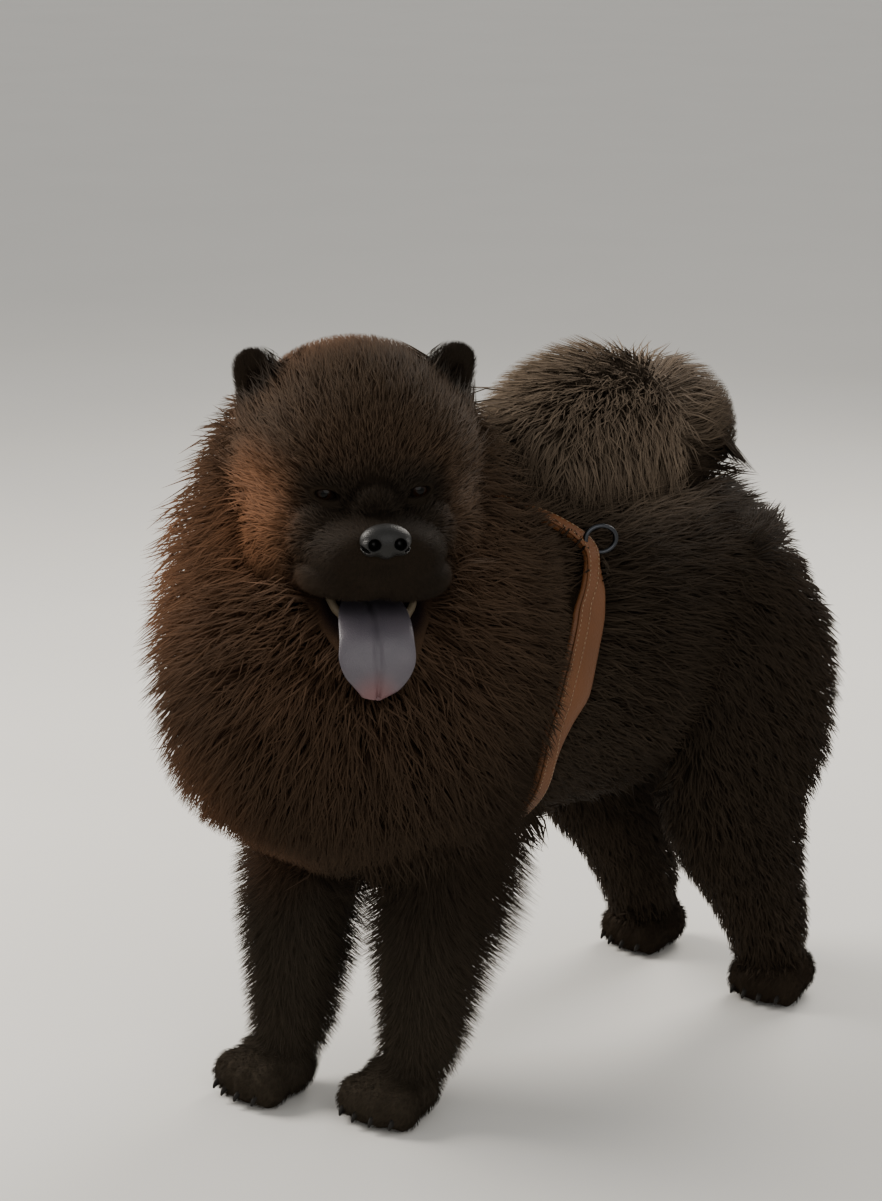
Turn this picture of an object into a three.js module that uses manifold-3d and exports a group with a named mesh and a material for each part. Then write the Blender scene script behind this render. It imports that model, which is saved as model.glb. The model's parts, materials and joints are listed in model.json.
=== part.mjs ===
// A life-size chow chow that stands with its head turned to its left, in a leather harness.
// Millimetres, +Z up. The dog faces -Y, its left side is +X, and its soles stand on z = 0.
import * as THREE from 'three';
import { mergeVertices } from 'three/addons/utils/BufferGeometryUtils.js';
import Module from 'manifold-3d';

const wasm = await Module();
wasm.setup();

// Sizes that drive the rest
const GAP = 0.35; // kept between pieces that touch
const HEAD_CENTRE = [19, -225, 538]; // middle of the skull
const HEAD_TURN = 55.6; // degrees to the dog's left
const EYE_RADIUS = 11;
const EYE_PLACE = [36, -66, -2]; // in the head's own frame, for the left eye
const PAW_SINK = 3; // the rounded paws are cut flat this far up
const STRAP_THICK = 5;
const TOOTH_LONG = 13;
const EDGE_GROWTH = 5; // the thin edge of a lock is grown this much more, to keep the same gap
const END_GROWTH = 6; // and so are its ends

const V = (x, y, z) => new THREE.Vector3(x, y, z);
const UP = V(0, 0, 1);

// A seeded draw in 0..1, so that every build is alike
function drawFrom(seed) {
  let state = seed;
  return () => {
    state = (state + 0x6d2b79f5) | 0;
    let mixed = Math.imul(state ^ (state >>> 15), 1 | state);
    mixed = (mixed + Math.imul(mixed ^ (mixed >>> 7), 61 | mixed)) ^ mixed;
    return ((mixed ^ (mixed >>> 14)) >>> 0) / 4294967296;
  };
}

// Solids

function solidOf(geometry) {
  const bare = geometry.clone();
  bare.deleteAttribute('normal');
  bare.deleteAttribute('uv');
  const merged = mergeVertices(bare, 1e-4);
  const vertProperties = new Float32Array(merged.attributes.position.array);
  const triVerts = new Uint32Array(merged.index.array);
  const make = () => new wasm.Manifold(new wasm.Mesh({ numProp: 3, vertProperties, triVerts }));
  const solid = make();
  if (solid.volume() > 0) return solid;
  for (let i = 0; i < triVerts.length; i += 3) {
    [triVerts[i + 1], triVerts[i + 2]] = [triVerts[i + 2], triVerts[i + 1]];
  }
  return make();
}

function largest(solid) {
  return solid.decompose().reduce((best, body) => (body.volume() > best.volume() ? body : best));
}

const fuse = (solids) => largest(solids.reduce((all, next) => all.add(next)));
const cut = (solid, ...tools) => largest(tools.reduce((left, tool) => left.subtract(tool), solid));

function geometryOf(solid) {
  const { vertProperties, triVerts, numProp, numVert } = solid.getMesh();
  const position = new Float32Array(numVert * 3);
  for (let i = 0; i < numVert; i++) {
    position.set(vertProperties.subarray(i * numProp, i * numProp + 3), i * 3);
  }
  const geometry = new THREE.BufferGeometry();
  geometry.setAttribute('position', new THREE.BufferAttribute(position, 3));
  geometry.setIndex(new THREE.BufferAttribute(triVerts, 1));
  geometry.computeVertexNormals();
  return geometry;
}

// A closed body along a line. Each station is
// [x, y, z, half width, half height above, half height below, coat beyond that].
// The width runs along `side`, and the height square to it and to the line.
// `thin` is how much of the coat grows on the side below, `furrow` dents the middle above,
// `twist` turns the corners round the line, and `blunt` draws the rings towards the ends.
function bodyAlong(stations, {
  side = V(1, 0, 0), around = 16, along = 10, thin = 1, furrow = 1, twist = 0, blunt = 0.75,
} = {}) {
  const line = new THREE.CatmullRomCurve3(stations.map(([x, y, z]) => V(x, y, z)));
  const sizes = new THREE.CatmullRomCurve3(
    stations.map(([, , , wide, above, below]) => V(wide, above, below)),
  );
  const coats = new THREE.CatmullRomCurve3(stations.map(([x, y, z, , , , coat = 0], i) => V(i, coat, 0)));
  const coatAt = (u, angle) => {
    const share = thin + (1 - thin) * Math.max(0, Math.sin(angle));
    return Math.max(0, coats.getPoint(u).y) * share;
  };
  const coreAt = (u, angle) => {
    const forward = line.getTangent(u);
    const across = side.clone().addScaledVector(forward, -side.dot(forward)).normalize();
    const above = across.clone().cross(forward);
    const size = sizes.getPoint(u);
    const dent = Math.sin(angle) > 0.999 ? furrow : 1;
    const height = (Math.sin(angle) > 0 ? size.y : size.z) * dent;
    return line.getPoint(u)
      .addScaledVector(across, size.x * Math.cos(angle))
      .addScaledVector(above, height * Math.sin(angle));
  };
  const outAt = (u, angle) => {
    const forward = line.getTangent(u);
    if (u < 0.001) return forward.negate();
    if (u > 0.999) return forward;
    const step = 0.02;
    const turn = coreAt(u, angle + step).sub(coreAt(u, angle - step));
    const run = coreAt(Math.min(1, u + step), angle).sub(coreAt(Math.max(0, u - step), angle));
    const out = turn.cross(run).normalize();
    return out.dot(coreAt(u, angle).sub(line.getPoint(u))) < 0 ? out.negate() : out;
  };
  const surfaceAt = (u, angle, grow = 0, share = 0) =>
    coreAt(u, angle).addScaledVector(outAt(u, angle), grow + share * coatAt(u, angle));
  const solid = (grow = 0, share = 0) => {
    const geometry = new THREE.SphereGeometry(1, around, along);
    const { position } = geometry.attributes;
    for (let i = 0; i < position.count; i++) {
      const place = V().fromBufferAttribute(position, i);
      const even = Math.acos(THREE.MathUtils.clamp(place.y, -1, 1)) / Math.PI;
      const u = THREE.MathUtils.lerp(even, (1 - place.y) / 2, blunt);
      const onAxis = Math.hypot(place.x, place.z) < 1e-6;
      const end = line.getPoint(u).addScaledVector(outAt(u, 0), grow + share * coatAt(u, 0));
      const moved = onAxis ? end : surfaceAt(u, Math.atan2(place.z, place.x) + twist, grow, share);
      position.setXYZ(i, moved.x, moved.y, moved.z);
    }
    return solidOf(geometry);
  };
  return { surfaceAt, outAt, coatAt, line, solid };
}

// Locks of hair: flat, tapered, three-sided, rooted in the undercoat and bent over to lie along it.
// Each row is [place along the body, how many, first angle, last angle in degrees, share of the length].
// `round` is the radius of the form that the lock bends over.
function locksOn(body, rows, { lie, long, wide, thick, round, seed, sink = 10 }) {
  const draw = drawFrom(seed);
  const vary = (share) => 1 + share * (2 * draw() - 1);
  return rows.flatMap(([u, count, from, to, share = 1], row) => Array.from({ length: count }, (_, i) => {
    const step = (i + 0.5 + (row % 2 ? 0.22 : -0.22) + 0.2 * (draw() - 0.5)) / count;
    const angle = THREE.MathUtils.degToRad(from + (to - from) * step);
    const along = u + 0.02 * (2 * draw() - 1);
    const root = body.surfaceAt(along, angle);
    const out = body.outAt(along, angle);
    const coat = body.coatAt(along, angle);
    const way = lie(root).normalize();
    way.addScaledVector(out, -way.dot(out)).normalize();
    way.applyAxisAngle(out, 0.35 * (draw() - 0.5));
    const length = long * share * vary(0.16);
    const half = wide * vary(0.14);
    const side = out.clone().cross(way);
    const tip = coat * vary(0.12);
    const place = (forth, up) => {
      const drop = (length * forth) ** 2 / (2 * round);
      return root.clone().addScaledVector(way, length * forth).addScaledVector(out, up - drop);
    };
    const line = [
      place(-0.04, -sink), place(0.28, coat * 0.5), place(0.66, coat * 0.85 - thick * 0.4), place(1, tip),
    ];
    return (grow = 0) => {
      const beyond = (end, from) => {
        const outward = end.clone().sub(from).normalize();
        return end.clone().addScaledVector(outward, END_GROWTH * grow);
      };
      const size = (w, above, below) => [
        half * w + EDGE_GROWTH * grow, thick * above + 1.5 * grow, thick * below + 2.4 * grow,
      ];
      return bodyAlong([
        [...beyond(line[0], line[1]).toArray(), ...size(0.7, 1, 1)],
        [...line[1].toArray(), ...size(1, 1, 1)],
        [...line[2].toArray(), ...size(0.82, 0.8, 0.6)],
        [...beyond(line[3], line[2]).toArray(), ...size(0.4, 0.4, 0.3)],
      ], { side, around: 3, along: 3, twist: -Math.PI / 2, blunt: 0 }).solid();
    };
  }));
}
const hairy = (solid, locks, grow = 0) => fuse([solid, ...locks.map((one) => one(grow))]);

function ball([x, y, z], [rx, ry, rz], { around = 12, along = 8, turn = [0, 0, 0] } = {}, grow = 0) {
  const geometry = new THREE.SphereGeometry(1, around, along);
  geometry.rotateX(Math.PI / 2);
  geometry.scale(rx + grow, ry + grow, rz + grow);
  const [tx, ty, tz] = turn.map(THREE.MathUtils.degToRad);
  geometry.applyMatrix4(new THREE.Matrix4().makeRotationFromEuler(new THREE.Euler(tx, ty, tz)));
  geometry.translate(x, y, z);
  return solidOf(geometry);
}

// The torso, from the forechest to the buttocks
const TORSO = bodyAlong([
  [0, -205, 345, 60, 62, 70, 4],
  [0, -165, 350, 104, 112, 118, 4],
  [0, -110, 350, 118, 136, 132, 4],
  [0, -50, 352, 119, 136, 128, 10],
  [0, 0, 356, 116, 132, 120, 32],
  [0, 60, 362, 112, 122, 106, 42],
  [0, 125, 372, 106, 102, 90, 44],
  [0, 185, 368, 90, 80, 76, 42],
  [0, 222, 364, 66, 62, 60, 40],
  [0, 244, 362, 30, 32, 32, 38],
], { around: 16, along: 12 });

// The neck and mane, from the chest up to the back of the skull
const MANE = bodyAlong([
  [18, -240, 240, 46, 42, 40, 36],
  [18, -238, 272, 90, 80, 80, 44],
  [14, -228, 345, 114, 92, 98, 50],
  [0, -214, 400, 118, 80, 98, 50],
  [-14, -204, 452, 114, 46, 92, 48],
  [-26, -194, 498, 106, 34, 80, 46],
  [-40, -184, 540, 96, 30, 60, 32],
  [-42, -184, 580, 74, 22, 40, 20],
  [-42, -184, 604, 32, 12, 18, 14],
], { side: V(0.72, 0.69, 0), around: 16, along: 10 });

const LEGS = {
  leg_front_left: [
    [82, -152, 318, 36, 42, 40, 4],
    [77, -162, 280, 47, 53, 47, 14],
    [68, -182, 215, 44, 54, 44, 48],
    [64, -192, 160, 40, 48, 42, 40],
    [64, -196, 110, 36, 40, 37, 18],
    [64, -202, 66, 33, 34, 33, 8],
    [60, -210, 40, 28, 28, 28, 2],
  ],
  leg_front_right: [
    [-77, -166, 318, 36, 42, 40, 4],
    [-74, -180, 280, 52, 53, 47, 14],
    [-62, -208, 215, 53, 52, 44, 34],
    [-55, -228, 160, 47, 46, 42, 26],
    [-52, -236, 110, 39, 40, 37, 14],
    [-50, -242, 66, 33, 34, 33, 8],
    [-51, -250, 40, 28, 28, 28, 2],
  ],
  leg_hind_left: [
    [68, 160, 420, 38, 54, 56, 6],
    [86, 158, 350, 46, 80, 78, 24],
    [92, 152, 265, 46, 80, 76, 26],
    [89, 152, 195, 40, 62, 62, 24],
    [86, 180, 130, 34, 42, 42, 14],
    [86, 200, 85, 31, 34, 34, 6],
    [86, 214, 45, 28, 28, 28, 2],
  ],
  leg_hind_right: [
    [-68, 164, 420, 38, 54, 56, 6],
    [-86, 164, 350, 46, 80, 78, 24],
    [-92, 162, 265, 46, 80, 76, 26],
    [-89, 168, 195, 40, 62, 62, 24],
    [-86, 198, 130, 34, 42, 42, 14],
    [-86, 218, 85, 31, 34, 34, 6],
    [-86, 230, 45, 28, 28, 28, 2],
  ],
};
const LEG_BODIES = Object.fromEntries(Object.entries(LEGS).map(([name, stations]) => [
  name, bodyAlong(stations, { around: 12, along: 9, thin: 0.3 }),
]));

const PAWS = {
  paw_front_left: { at: [57, -222], size: [37, 45], turn: 8 },
  paw_front_right: { at: [-52, -262], size: [37, 45], turn: -4 },
  paw_hind_left: { at: [87, 222], size: [34, 42], turn: 6 },
  paw_hind_right: { at: [-87, 240], size: [34, 42], turn: -6 },
};

// The tail, from its root up and forwards over the back
const TAIL = bodyAlong([
  [0, 162, 458, 20, 20, 20, 8],
  [0, 166, 492, 28, 24, 24, 18],
  [2, 144, 524, 38, 36, 32, 24],
  [5, 92, 538, 46, 48, 34, 28],
  [10, 34, 537, 44, 48, 32, 28],
  [15, -16, 531, 32, 38, 22, 26],
  [18, -44, 526, 12, 10, 8, 20],
], { around: 12, along: 9 });

// The head, in its own frame: it faces -Y, with the middle of the skull at the origin
const HEAD_FRAME = new THREE.Matrix4()
  .makeTranslation(...HEAD_CENTRE)
  .multiply(new THREE.Matrix4().makeRotationZ(THREE.MathUtils.degToRad(HEAD_TURN)));
const inPlace = (solid) => solid.transform(HEAD_FRAME.toArray());
const bothSides = (make) => [1, -1].map(make);

const SKULL = bodyAlong([
  [0, 84, 8, 34, 36, 36, 10],
  [0, 60, 10, 66, 60, 64, 18],
  [0, 10, 10, 78, 66, 72, 20],
  [0, -35, 4, 74, 64, 60, 14],
  [0, -66, -10, 58, 48, 38, 6],
  [0, -80, -18, 30, 28, 16, 2],
], { around: 16, along: 8 });
const MUZZLE = bodyAlong([
  [0, -40, -36, 60, 38, 34],
  [0, -74, -41, 57, 37, 31],
  [0, -108, -44, 51, 34, 29],
  [0, -132, -46, 41, 29, 27],
  [0, -144, -46, 20, 16, 16],
], { around: 16, along: 7 });
const LIP = (s) => bodyAlong([
  [s * 4, -134, -60, 12, 12, 14],
  [s * 24, -126, -62, 13, 13, 15],
  [s * 42, -104, -64, 13, 12, 15],
  [s * 53, -80, -66, 11, 10, 14],
  [s * 57, -62, -70, 6, 5, 7],
], { side: V(0, -1, 0), around: 8, along: 6 });
const JAW = bodyAlong([
  [0, -28, -74, 44, 20, 12],
  [0, -62, -93, 52, 18, 12],
  [0, -92, -111, 41, 16, 12],
  [0, -116, -126, 30, 13, 10],
  [0, -127, -133, 13, 7, 6],
], { around: 12, along: 6 });
const TONGUE = bodyAlong([
  [-1, -50, -86, 18, 4, 4],
  [-2, -82, -90, 25, 4.5, 4.5],
  [-4, -110, -95, 28, 4.5, 4.5],
  [-5, -129, -106, 29, 4.5, 4.5],
  [-6, -137, -122, 29.5, 4, 4],
  [-8, -138, -138, 22, 3.5, 3.5],
  [-11, -136, -151, 7, 2.5, 2.5],
], { around: 12, along: 10, furrow: 0.4 });

const cheek = (s, grow = 0) => ball([s * 44, -26, -36], [42, 56, 48], { around: 11, along: 6 }, grow);

function head(grow = 0, share = 0) {
  const [ex, ey, ez] = EYE_PLACE;
  return fuse([
    SKULL.solid(grow, share),
    MUZZLE.solid(grow),
    ...bothSides((s) => cheek(s, grow)),
    ...bothSides((s) => LIP(s).solid(grow)),
    ...bothSides((s) => ball([s * ex, ey + 8, ez + 15], [22, 18, 12], { around: 10, along: 6 }, grow)),
    ...bothSides((s) => ball([s * ex, ey, ez], [17, 15, 14], { around: 10, along: 6 }, grow)),
  ]);
}

const eye = (s, grow = 0) => {
  const [ex, ey, ez] = EYE_PLACE;
  return ball([s * ex, ey, ez], [EYE_RADIUS, EYE_RADIUS, EYE_RADIUS], { around: 12, along: 8 }, grow);
};

// The almond opening between the lids
const fissure = (s) => {
  const [ex, ey, ez] = EYE_PLACE;
  const turn = [0, s * -8, s * 10];
  return ball([s * (ex + 1), ey - 18, ez - 0.5], [12.5, 22, 5], { around: 14, along: 6, turn });
};

function nose(grow = 0) {
  const leather = fuse([
    ball([0, -142, -25], [20, 13, 13], { around: 12, along: 6 }, grow),
    ball([0, -141, -33], [9, 12, 8], { around: 8, along: 4 }, grow),
  ]);
  if (grow) return leather;
  const nostrils = bothSides((s) => {
    const turn = [0, s * 20, 0];
    return ball([s * 8.5, -155, -26], [5.2, 9, 4.8], { around: 7, along: 5, turn });
  });
  const slits = bothSides((s) => {
    const turn = [0, s * -25, 0];
    return ball([s * 17, -148, -30], [6, 8, 1.8], { around: 8, along: 4, turn });
  });
  return cut(leather, ...nostrils, ...slits);
}

function ear(s, grow = 0) {
  const flap = bodyAlong([
    [s * 70, 24, 46, 22, 15, 15],
    [s * 77, 21, 66, 18, 11, 12],
    [s * 82, 18, 82, 16, 8, 9],
    [s * 85, 16, 93, 12, 5, 6],
    [s * 86, 15, 97, 5, 3, 3],
  ], { side: V(0.92, s * -0.2, 0), around: 10, along: 6 }).solid(grow);
  if (grow) return flap;
  const cup = ball([s * 81, 6, 72], [7.5, 12, 15], { around: 10, along: 6, turn: [0, s * 28, 0] });
  return cut(flap, cup);
}

// A row of teeth on a curved gum, from one corner of the mouth to the other
function teeth({ y, z, wide, deep, slope, down }, grow = 0) {
  const gum = new THREE.CatmullRomCurve3([-1, -0.8, 0, 0.8, 1].map((n) => {
    const back = deep * n ** 2;
    return V(n * wide, y + back, z + back * slope);
  }));
  const solids = [];
  const count = 8;
  for (let i = 0; i < count; i++) {
    const n = i / (count - 1);
    const root = gum.getPoint(n);
    const canine = Math.abs(n - 0.5) > 0.16 && Math.abs(n - 0.5) < 0.3;
    const long = canine ? TOOTH_LONG : TOOTH_LONG * 0.42;
    const radius = canine ? 3.2 : 3;
    const cone = new THREE.ConeGeometry(radius + grow, long + 2 * grow, 5);
    cone.rotateX(down ? -Math.PI / 2 : Math.PI / 2);
    cone.translate(root.x, root.y, root.z + (down ? -1 : 1) * (long / 2));
    solids.push(solidOf(cone));
  }
  const shape = new THREE.Shape().absellipse(0, 0, 4 + grow, 3 + grow, 0, Math.PI * 2);
  const rail = new THREE.ExtrudeGeometry(shape, { extrudePath: gum, steps: 8, curveSegments: 2 });
  return fuse([solidOf(rail), ...solids]);
}
const UPPER_TEETH = { y: -124, z: -68, wide: 40, deep: 52, slope: -0.08, down: true };
const LOWER_TEETH = { y: -116, z: -114, wide: 34, deep: 48, slope: 0.6, down: false };

function paw({ at: [x, y], size: [wide, long], turn }, grow = 0) {
  const toes = [-1.5, -0.5, 0.5, 1.5].map((n) => {
    const reach = long - 16 - Math.abs(n) * 5;
    return ball([n * wide * 0.47, -reach, 21], [wide * 0.33, 19, 20], { around: 6, along: 4 }, grow);
  });
  const heel = ball([0, 2, 26], [wide * 0.94, long * 0.84, 26], { around: 9, along: 5 }, grow);
  const claws = grow ? [] : [-1.5, -0.5, 0.5, 1.5].map((n) => {
    const claw = new THREE.ConeGeometry(3.4, 16, 5);
    claw.rotateX(Math.PI * 0.66);
    claw.translate(n * wide * 0.47, -(long + 5 - Math.abs(n) * 5), 12);
    return solidOf(claw);
  });
  const whole = fuse([heel, ...toes, ...claws]);
  const floor = solidOf(new THREE.BoxGeometry(400, 400, 100).translate(0, 0, -50 + PAW_SINK - grow));
  const place = new THREE.Matrix4()
    .makeTranslation(x, y, -PAW_SINK)
    .multiply(new THREE.Matrix4().makeRotationZ(THREE.MathUtils.degToRad(turn)));
  return cut(whole, floor).transform(place.toArray());
}

// The harness: a padded girth behind the elbows, bowed back at its top, and a strap over it.
// Angles are in degrees from the left side up, and radii are from the middle of the chest.
const CHEST = [0, 352];
function strap(stations, thick, grow = 0, steps = 38) {
  const runs = stations.map((station) => V(station[1], station[2], station[3]));
  const loop = new THREE.CatmullRomCurve3(runs, true);
  const angles = new THREE.CatmullRomCurve3(stations.map((station) => {
    const angle = THREE.MathUtils.degToRad(station[0]);
    return V(Math.cos(angle), Math.sin(angle), 0);
  }), true);
  const geometry = new THREE.TorusGeometry(3, 1, 4, steps);
  const { position, uv } = geometry.attributes;
  for (let i = 0; i < position.count; i++) {
    const u = uv.getX(i) % 1;
    const corner = Math.round(uv.getY(i) * 4) % 4;
    const { x: y, y: half, z: reach } = loop.getPoint(u);
    const facing = angles.getPoint(u).normalize();
    const out = corner === 0 || corner === 1 ? thick + grow : -grow;
    const away = corner === 1 || corner === 2 ? half + grow : -half - grow;
    const radius = reach + out;
    position.setXYZ(i, CHEST[0] + facing.x * radius, y + away, CHEST[1] + facing.y * radius);
  }
  return solidOf(geometry);
}
const sideways = (stations) => [
  ...stations,
  ...stations.slice(1, -1).reverse().map(([angle, ...rest]) => [180 - angle, ...rest]),
];
// Angle, radius, then y and half width of the girth, and y of the strap over it
const STRAP_WIDE = 7;
const STRAPS = [
  [-90, 136, -140, 9, -140],
  [-60, 139, -130, 9, -130],
  [-38, 138, -118, 9, -118],
  [-20, 134, -117, 11, -119],
  [-11, 132, -111, 16, -118],
  [-3, 132, -99, 20, -111],
  [11, 132, -86, 20, -96],
  [28, 137, -67, 18, -75],
  [37, 140, -54, 11, -56],
  [47, 143, -45, 6, -45],
  [57, 146, -60, 6, -60],
  [70, 147, -88, 6, -88],
  [90, 145, -110, 8, -110],
];
const GIRTH = sideways(STRAPS.map(([angle, reach, y, half]) => [angle, y, half, reach]));
const TRIM = sideways(STRAPS.map(([angle, reach, , , y]) => (
  [angle, y, STRAP_WIDE, reach + STRAP_THICK + GAP]
)));
const RING_PLACE = [106, -36, 466];

// The longest hair, along the lie of the coat
const FACING = V(0, -1, 0).applyAxisAngle(UP, THREE.MathUtils.degToRad(HEAD_TURN));
const DOWN = UP.clone().negate();
const MANE_LOCKS = locksOn(MANE, [
  [0.12, 6, 20, 245, 0.7],
  [0.23, 7, 24, 250, 0.9],
  [0.35, 7, 26, 250],
  [0.47, 6, 28, 252],
  [0.61, 6, 146, 318, 0.9],
  [0.75, 7, 146, 376, 0.8],
  [0.88, 6, 136, 404, 0.6],
], {
  lie: (root) => {
    const away = root.clone().sub(V(...HEAD_CENTRE));
    away.addScaledVector(FACING, -away.dot(FACING)).normalize();
    return away.multiplyScalar(0.6).addScaledVector(FACING, -0.3).addScaledVector(DOWN, 0.9);
  },
  long: 124, wide: 49, thick: 12, round: 170, seed: 11,
});
const TORSO_LOCKS = locksOn(TORSO, [
  [0.37, 7, -50, 230],
  [0.5, 7, -45, 225],
  [0.63, 6, -15, 195],
  [0.77, 5, -5, 185],
  [0.9, 4, 0, 180, 0.8],
], {
  lie: (root) => V(0, 1, -0.4 - Math.max(0, root.y - 110) / 50),
  long: 118, wide: 47, thick: 11, round: 190, seed: 23,
});
const TAIL_LOCKS = locksOn(TAIL, [
  [0.3, 3, 170, 370, 0.8],
  [0.47, 4, 165, 375],
  [0.64, 4, 165, 375],
  [0.82, 4, 165, 375],
], {
  lie: (root) => V(Math.sign(root.x - 6) * 0.8, root.y > 110 ? -0.4 : -0.9, root.y > 110 ? 0.3 : -0.25),
  long: 78, wide: 31, thick: 9, round: 75, seed: 37,
});
const CROWN_LOCKS = locksOn(SKULL, [
  [0.34, 4, 208, 332],
  [0.54, 5, 204, 336, 0.85],
  [0.7, 4, 212, 328, 0.7],
], {
  lie: (root) => V(root.x * 0.012, 1, 0.35),
  long: 50, wide: 21, thick: 7, round: 90, seed: 41, sink: 8,
});
const FRONT_ROWS = [
  [0.3, 3, 35, 145, 1.25],
  [0.47, 3, 30, 150],
  [0.63, 1, 80, 100, 0.8],
];
const HIND_ROWS = [
  [0.22, 4, -20, 200],
  [0.38, 3, 0, 180],
  [0.54, 2, 40, 140, 0.8],
];
const LEG_LOCKS = Object.fromEntries(Object.entries(LEG_BODIES).map(([name, body], i) => {
  const front = name.includes('front');
  const outer = name.includes('left') ? 0.2 : -0.2;
  return [name, locksOn(body, front ? FRONT_ROWS : HIND_ROWS, {
    lie: () => V(front ? outer : 0, front ? 0.6 : 0.4, -1),
    long: front ? 84 : 92, wide: front ? 25 : 36, thick: 9, round: 300, seed: 51 + i,
  })];
}));

// Nodes
const girth = (grow = 0) => strap(GIRTH, STRAP_THICK, grow);
const trim = (grow = 0) => strap(TRIM, 3, grow);
const leather = (grow) => [girth(grow), trim(grow)];
const ring = (grow = 0) => {
  const loop = new THREE.TorusGeometry(13, 2.2 + grow, 6, 14);
  loop.scale(1, 0.85, 1);
  loop.rotateX(Math.PI / 2);
  loop.rotateZ(THREE.MathUtils.degToRad(60));
  loop.translate(...RING_PLACE);
  return solidOf(loop);
};

const mouth = ball([0, -84, -78], [44, 48, 20], { around: 14, along: 8, turn: [-8, 0, 0] });
const mouthParts = (grow) => [
  JAW.solid(grow),
  TONGUE.solid(grow),
  teeth(UPPER_TEETH, grow),
];
const headSolid = inPlace(cut(
  hairy(head(), CROWN_LOCKS),
  mouth,
  ...bothSides(fissure),
  ...bothSides((s) => eye(s, GAP)),
  ...bothSides((s) => ear(s, GAP)),
  nose(GAP),
  ...mouthParts(GAP),
));
const muzzleRoom = ball([0, -104, -98], [54, 66, 44], { around: 14, along: 8 });
const headTools = [
  hairy(SKULL.solid(GAP), CROWN_LOCKS, GAP),
  ...bothSides((s) => cheek(s, GAP)),
  ...bothSides((s) => ear(s, GAP)),
  MUZZLE.solid(GAP),
  JAW.solid(GAP),
  muzzleRoom,
].map(inPlace);

const materials = {
  coat: new THREE.MeshStandardMaterial({ color: 0x2b1a14, roughness: 0.95, metalness: 0 }),
  mane: new THREE.MeshStandardMaterial({ color: 0x40251a, roughness: 0.95, metalness: 0 }),
  face: new THREE.MeshStandardMaterial({ color: 0x1c1412, roughness: 0.9, metalness: 0 }),
  tail: new THREE.MeshStandardMaterial({ color: 0x55433a, roughness: 0.95, metalness: 0 }),
  eye: new THREE.MeshStandardMaterial({ color: 0x150c08, roughness: 0.08, metalness: 0 }),
  nose: new THREE.MeshStandardMaterial({ color: 0x17171a, roughness: 0.4, metalness: 0 }),
  tongue: new THREE.MeshStandardMaterial({ color: 0x5d5566, roughness: 0.45, metalness: 0 }),
  tooth: new THREE.MeshStandardMaterial({ color: 0xcfc4ad, roughness: 0.35, metalness: 0 }),
  leather: new THREE.MeshStandardMaterial({ color: 0xa15a2b, roughness: 0.6, metalness: 0 }),
  steel: new THREE.MeshStandardMaterial({ color: 0x202226, roughness: 0.35, metalness: 1 }),
};

const dog = new THREE.Group();
function addNode(name, solid, material) {
  const mesh = new THREE.Mesh(geometryOf(solid), material);
  mesh.name = name;
  dog.add(mesh);
}

addNode('head', headSolid, materials.face);
const neck = (grow = 0) => hairy(MANE.solid(grow), MANE_LOCKS, grow);
addNode('neck', cut(neck(), ...headTools, ...leather(GAP), ring(GAP)), materials.mane);
addNode('nose', inPlace(nose()), materials.nose);
addNode('lower_jaw', inPlace(cut(JAW.solid(), TONGUE.solid(GAP), teeth(LOWER_TEETH, GAP))), materials.face);
const tongueSolid = cut(TONGUE.solid(), teeth(UPPER_TEETH, GAP), teeth(LOWER_TEETH, GAP));
addNode('tongue', inPlace(tongueSolid), materials.tongue);
addNode('upper_teeth', inPlace(teeth(UPPER_TEETH)), materials.tooth);
addNode('lower_teeth', inPlace(teeth(LOWER_TEETH)), materials.tooth);
for (const [name, s] of [['left', 1], ['right', -1]]) {
  addNode('eye_' + name, inPlace(eye(s)), materials.eye);
  addNode('ear_' + name, inPlace(ear(s)), materials.face);
}
const neckTool = neck(GAP);
const torsoTools = [neckTool, ...headTools.slice(0, 1), ...leather(GAP), ring(GAP)];
for (const [name, body] of Object.entries(LEG_BODIES)) {
  const pawName = name.replace('leg', 'paw');
  const leg = (grow = 0) => hairy(body.solid(grow), LEG_LOCKS[name], grow);
  addNode(name, cut(leg(), paw(PAWS[pawName], GAP), neckTool, ...leather(GAP)), materials.coat);
  addNode(pawName, paw(PAWS[pawName]), materials.coat);
  torsoTools.push(leg(GAP));
}
const tail = (grow = 0) => hairy(TAIL.solid(grow), TAIL_LOCKS, grow);
addNode('tail', cut(tail(), neckTool, ...leather(GAP)), materials.tail);
addNode('harness_girth', girth(), materials.leather);
addNode('harness_trim', trim(), materials.leather);
addNode('harness_ring', cut(ring(), ...leather(GAP)), materials.steel);
addNode('torso', cut(hairy(TORSO.solid(), TORSO_LOCKS), ...torsoTools, tail(GAP)), materials.coat);

const box = new THREE.Box3().setFromObject(dog);
const middle = box.getCenter(V());
dog.position.set(-middle.x, -middle.y, -box.min.z);

export default dog;
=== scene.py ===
# A life-size chow chow that stands with its head turned to its left, in a leather harness.
# The forms are written in millimetres round the dog's own middle, and pieces are made in metres.
import json
import math

import bmesh
import bpy
import numpy as np
from mathutils import Euler, Matrix, Vector
from mathutils.bvhtree import BVHTree
from mathutils.kdtree import KDTree

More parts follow.
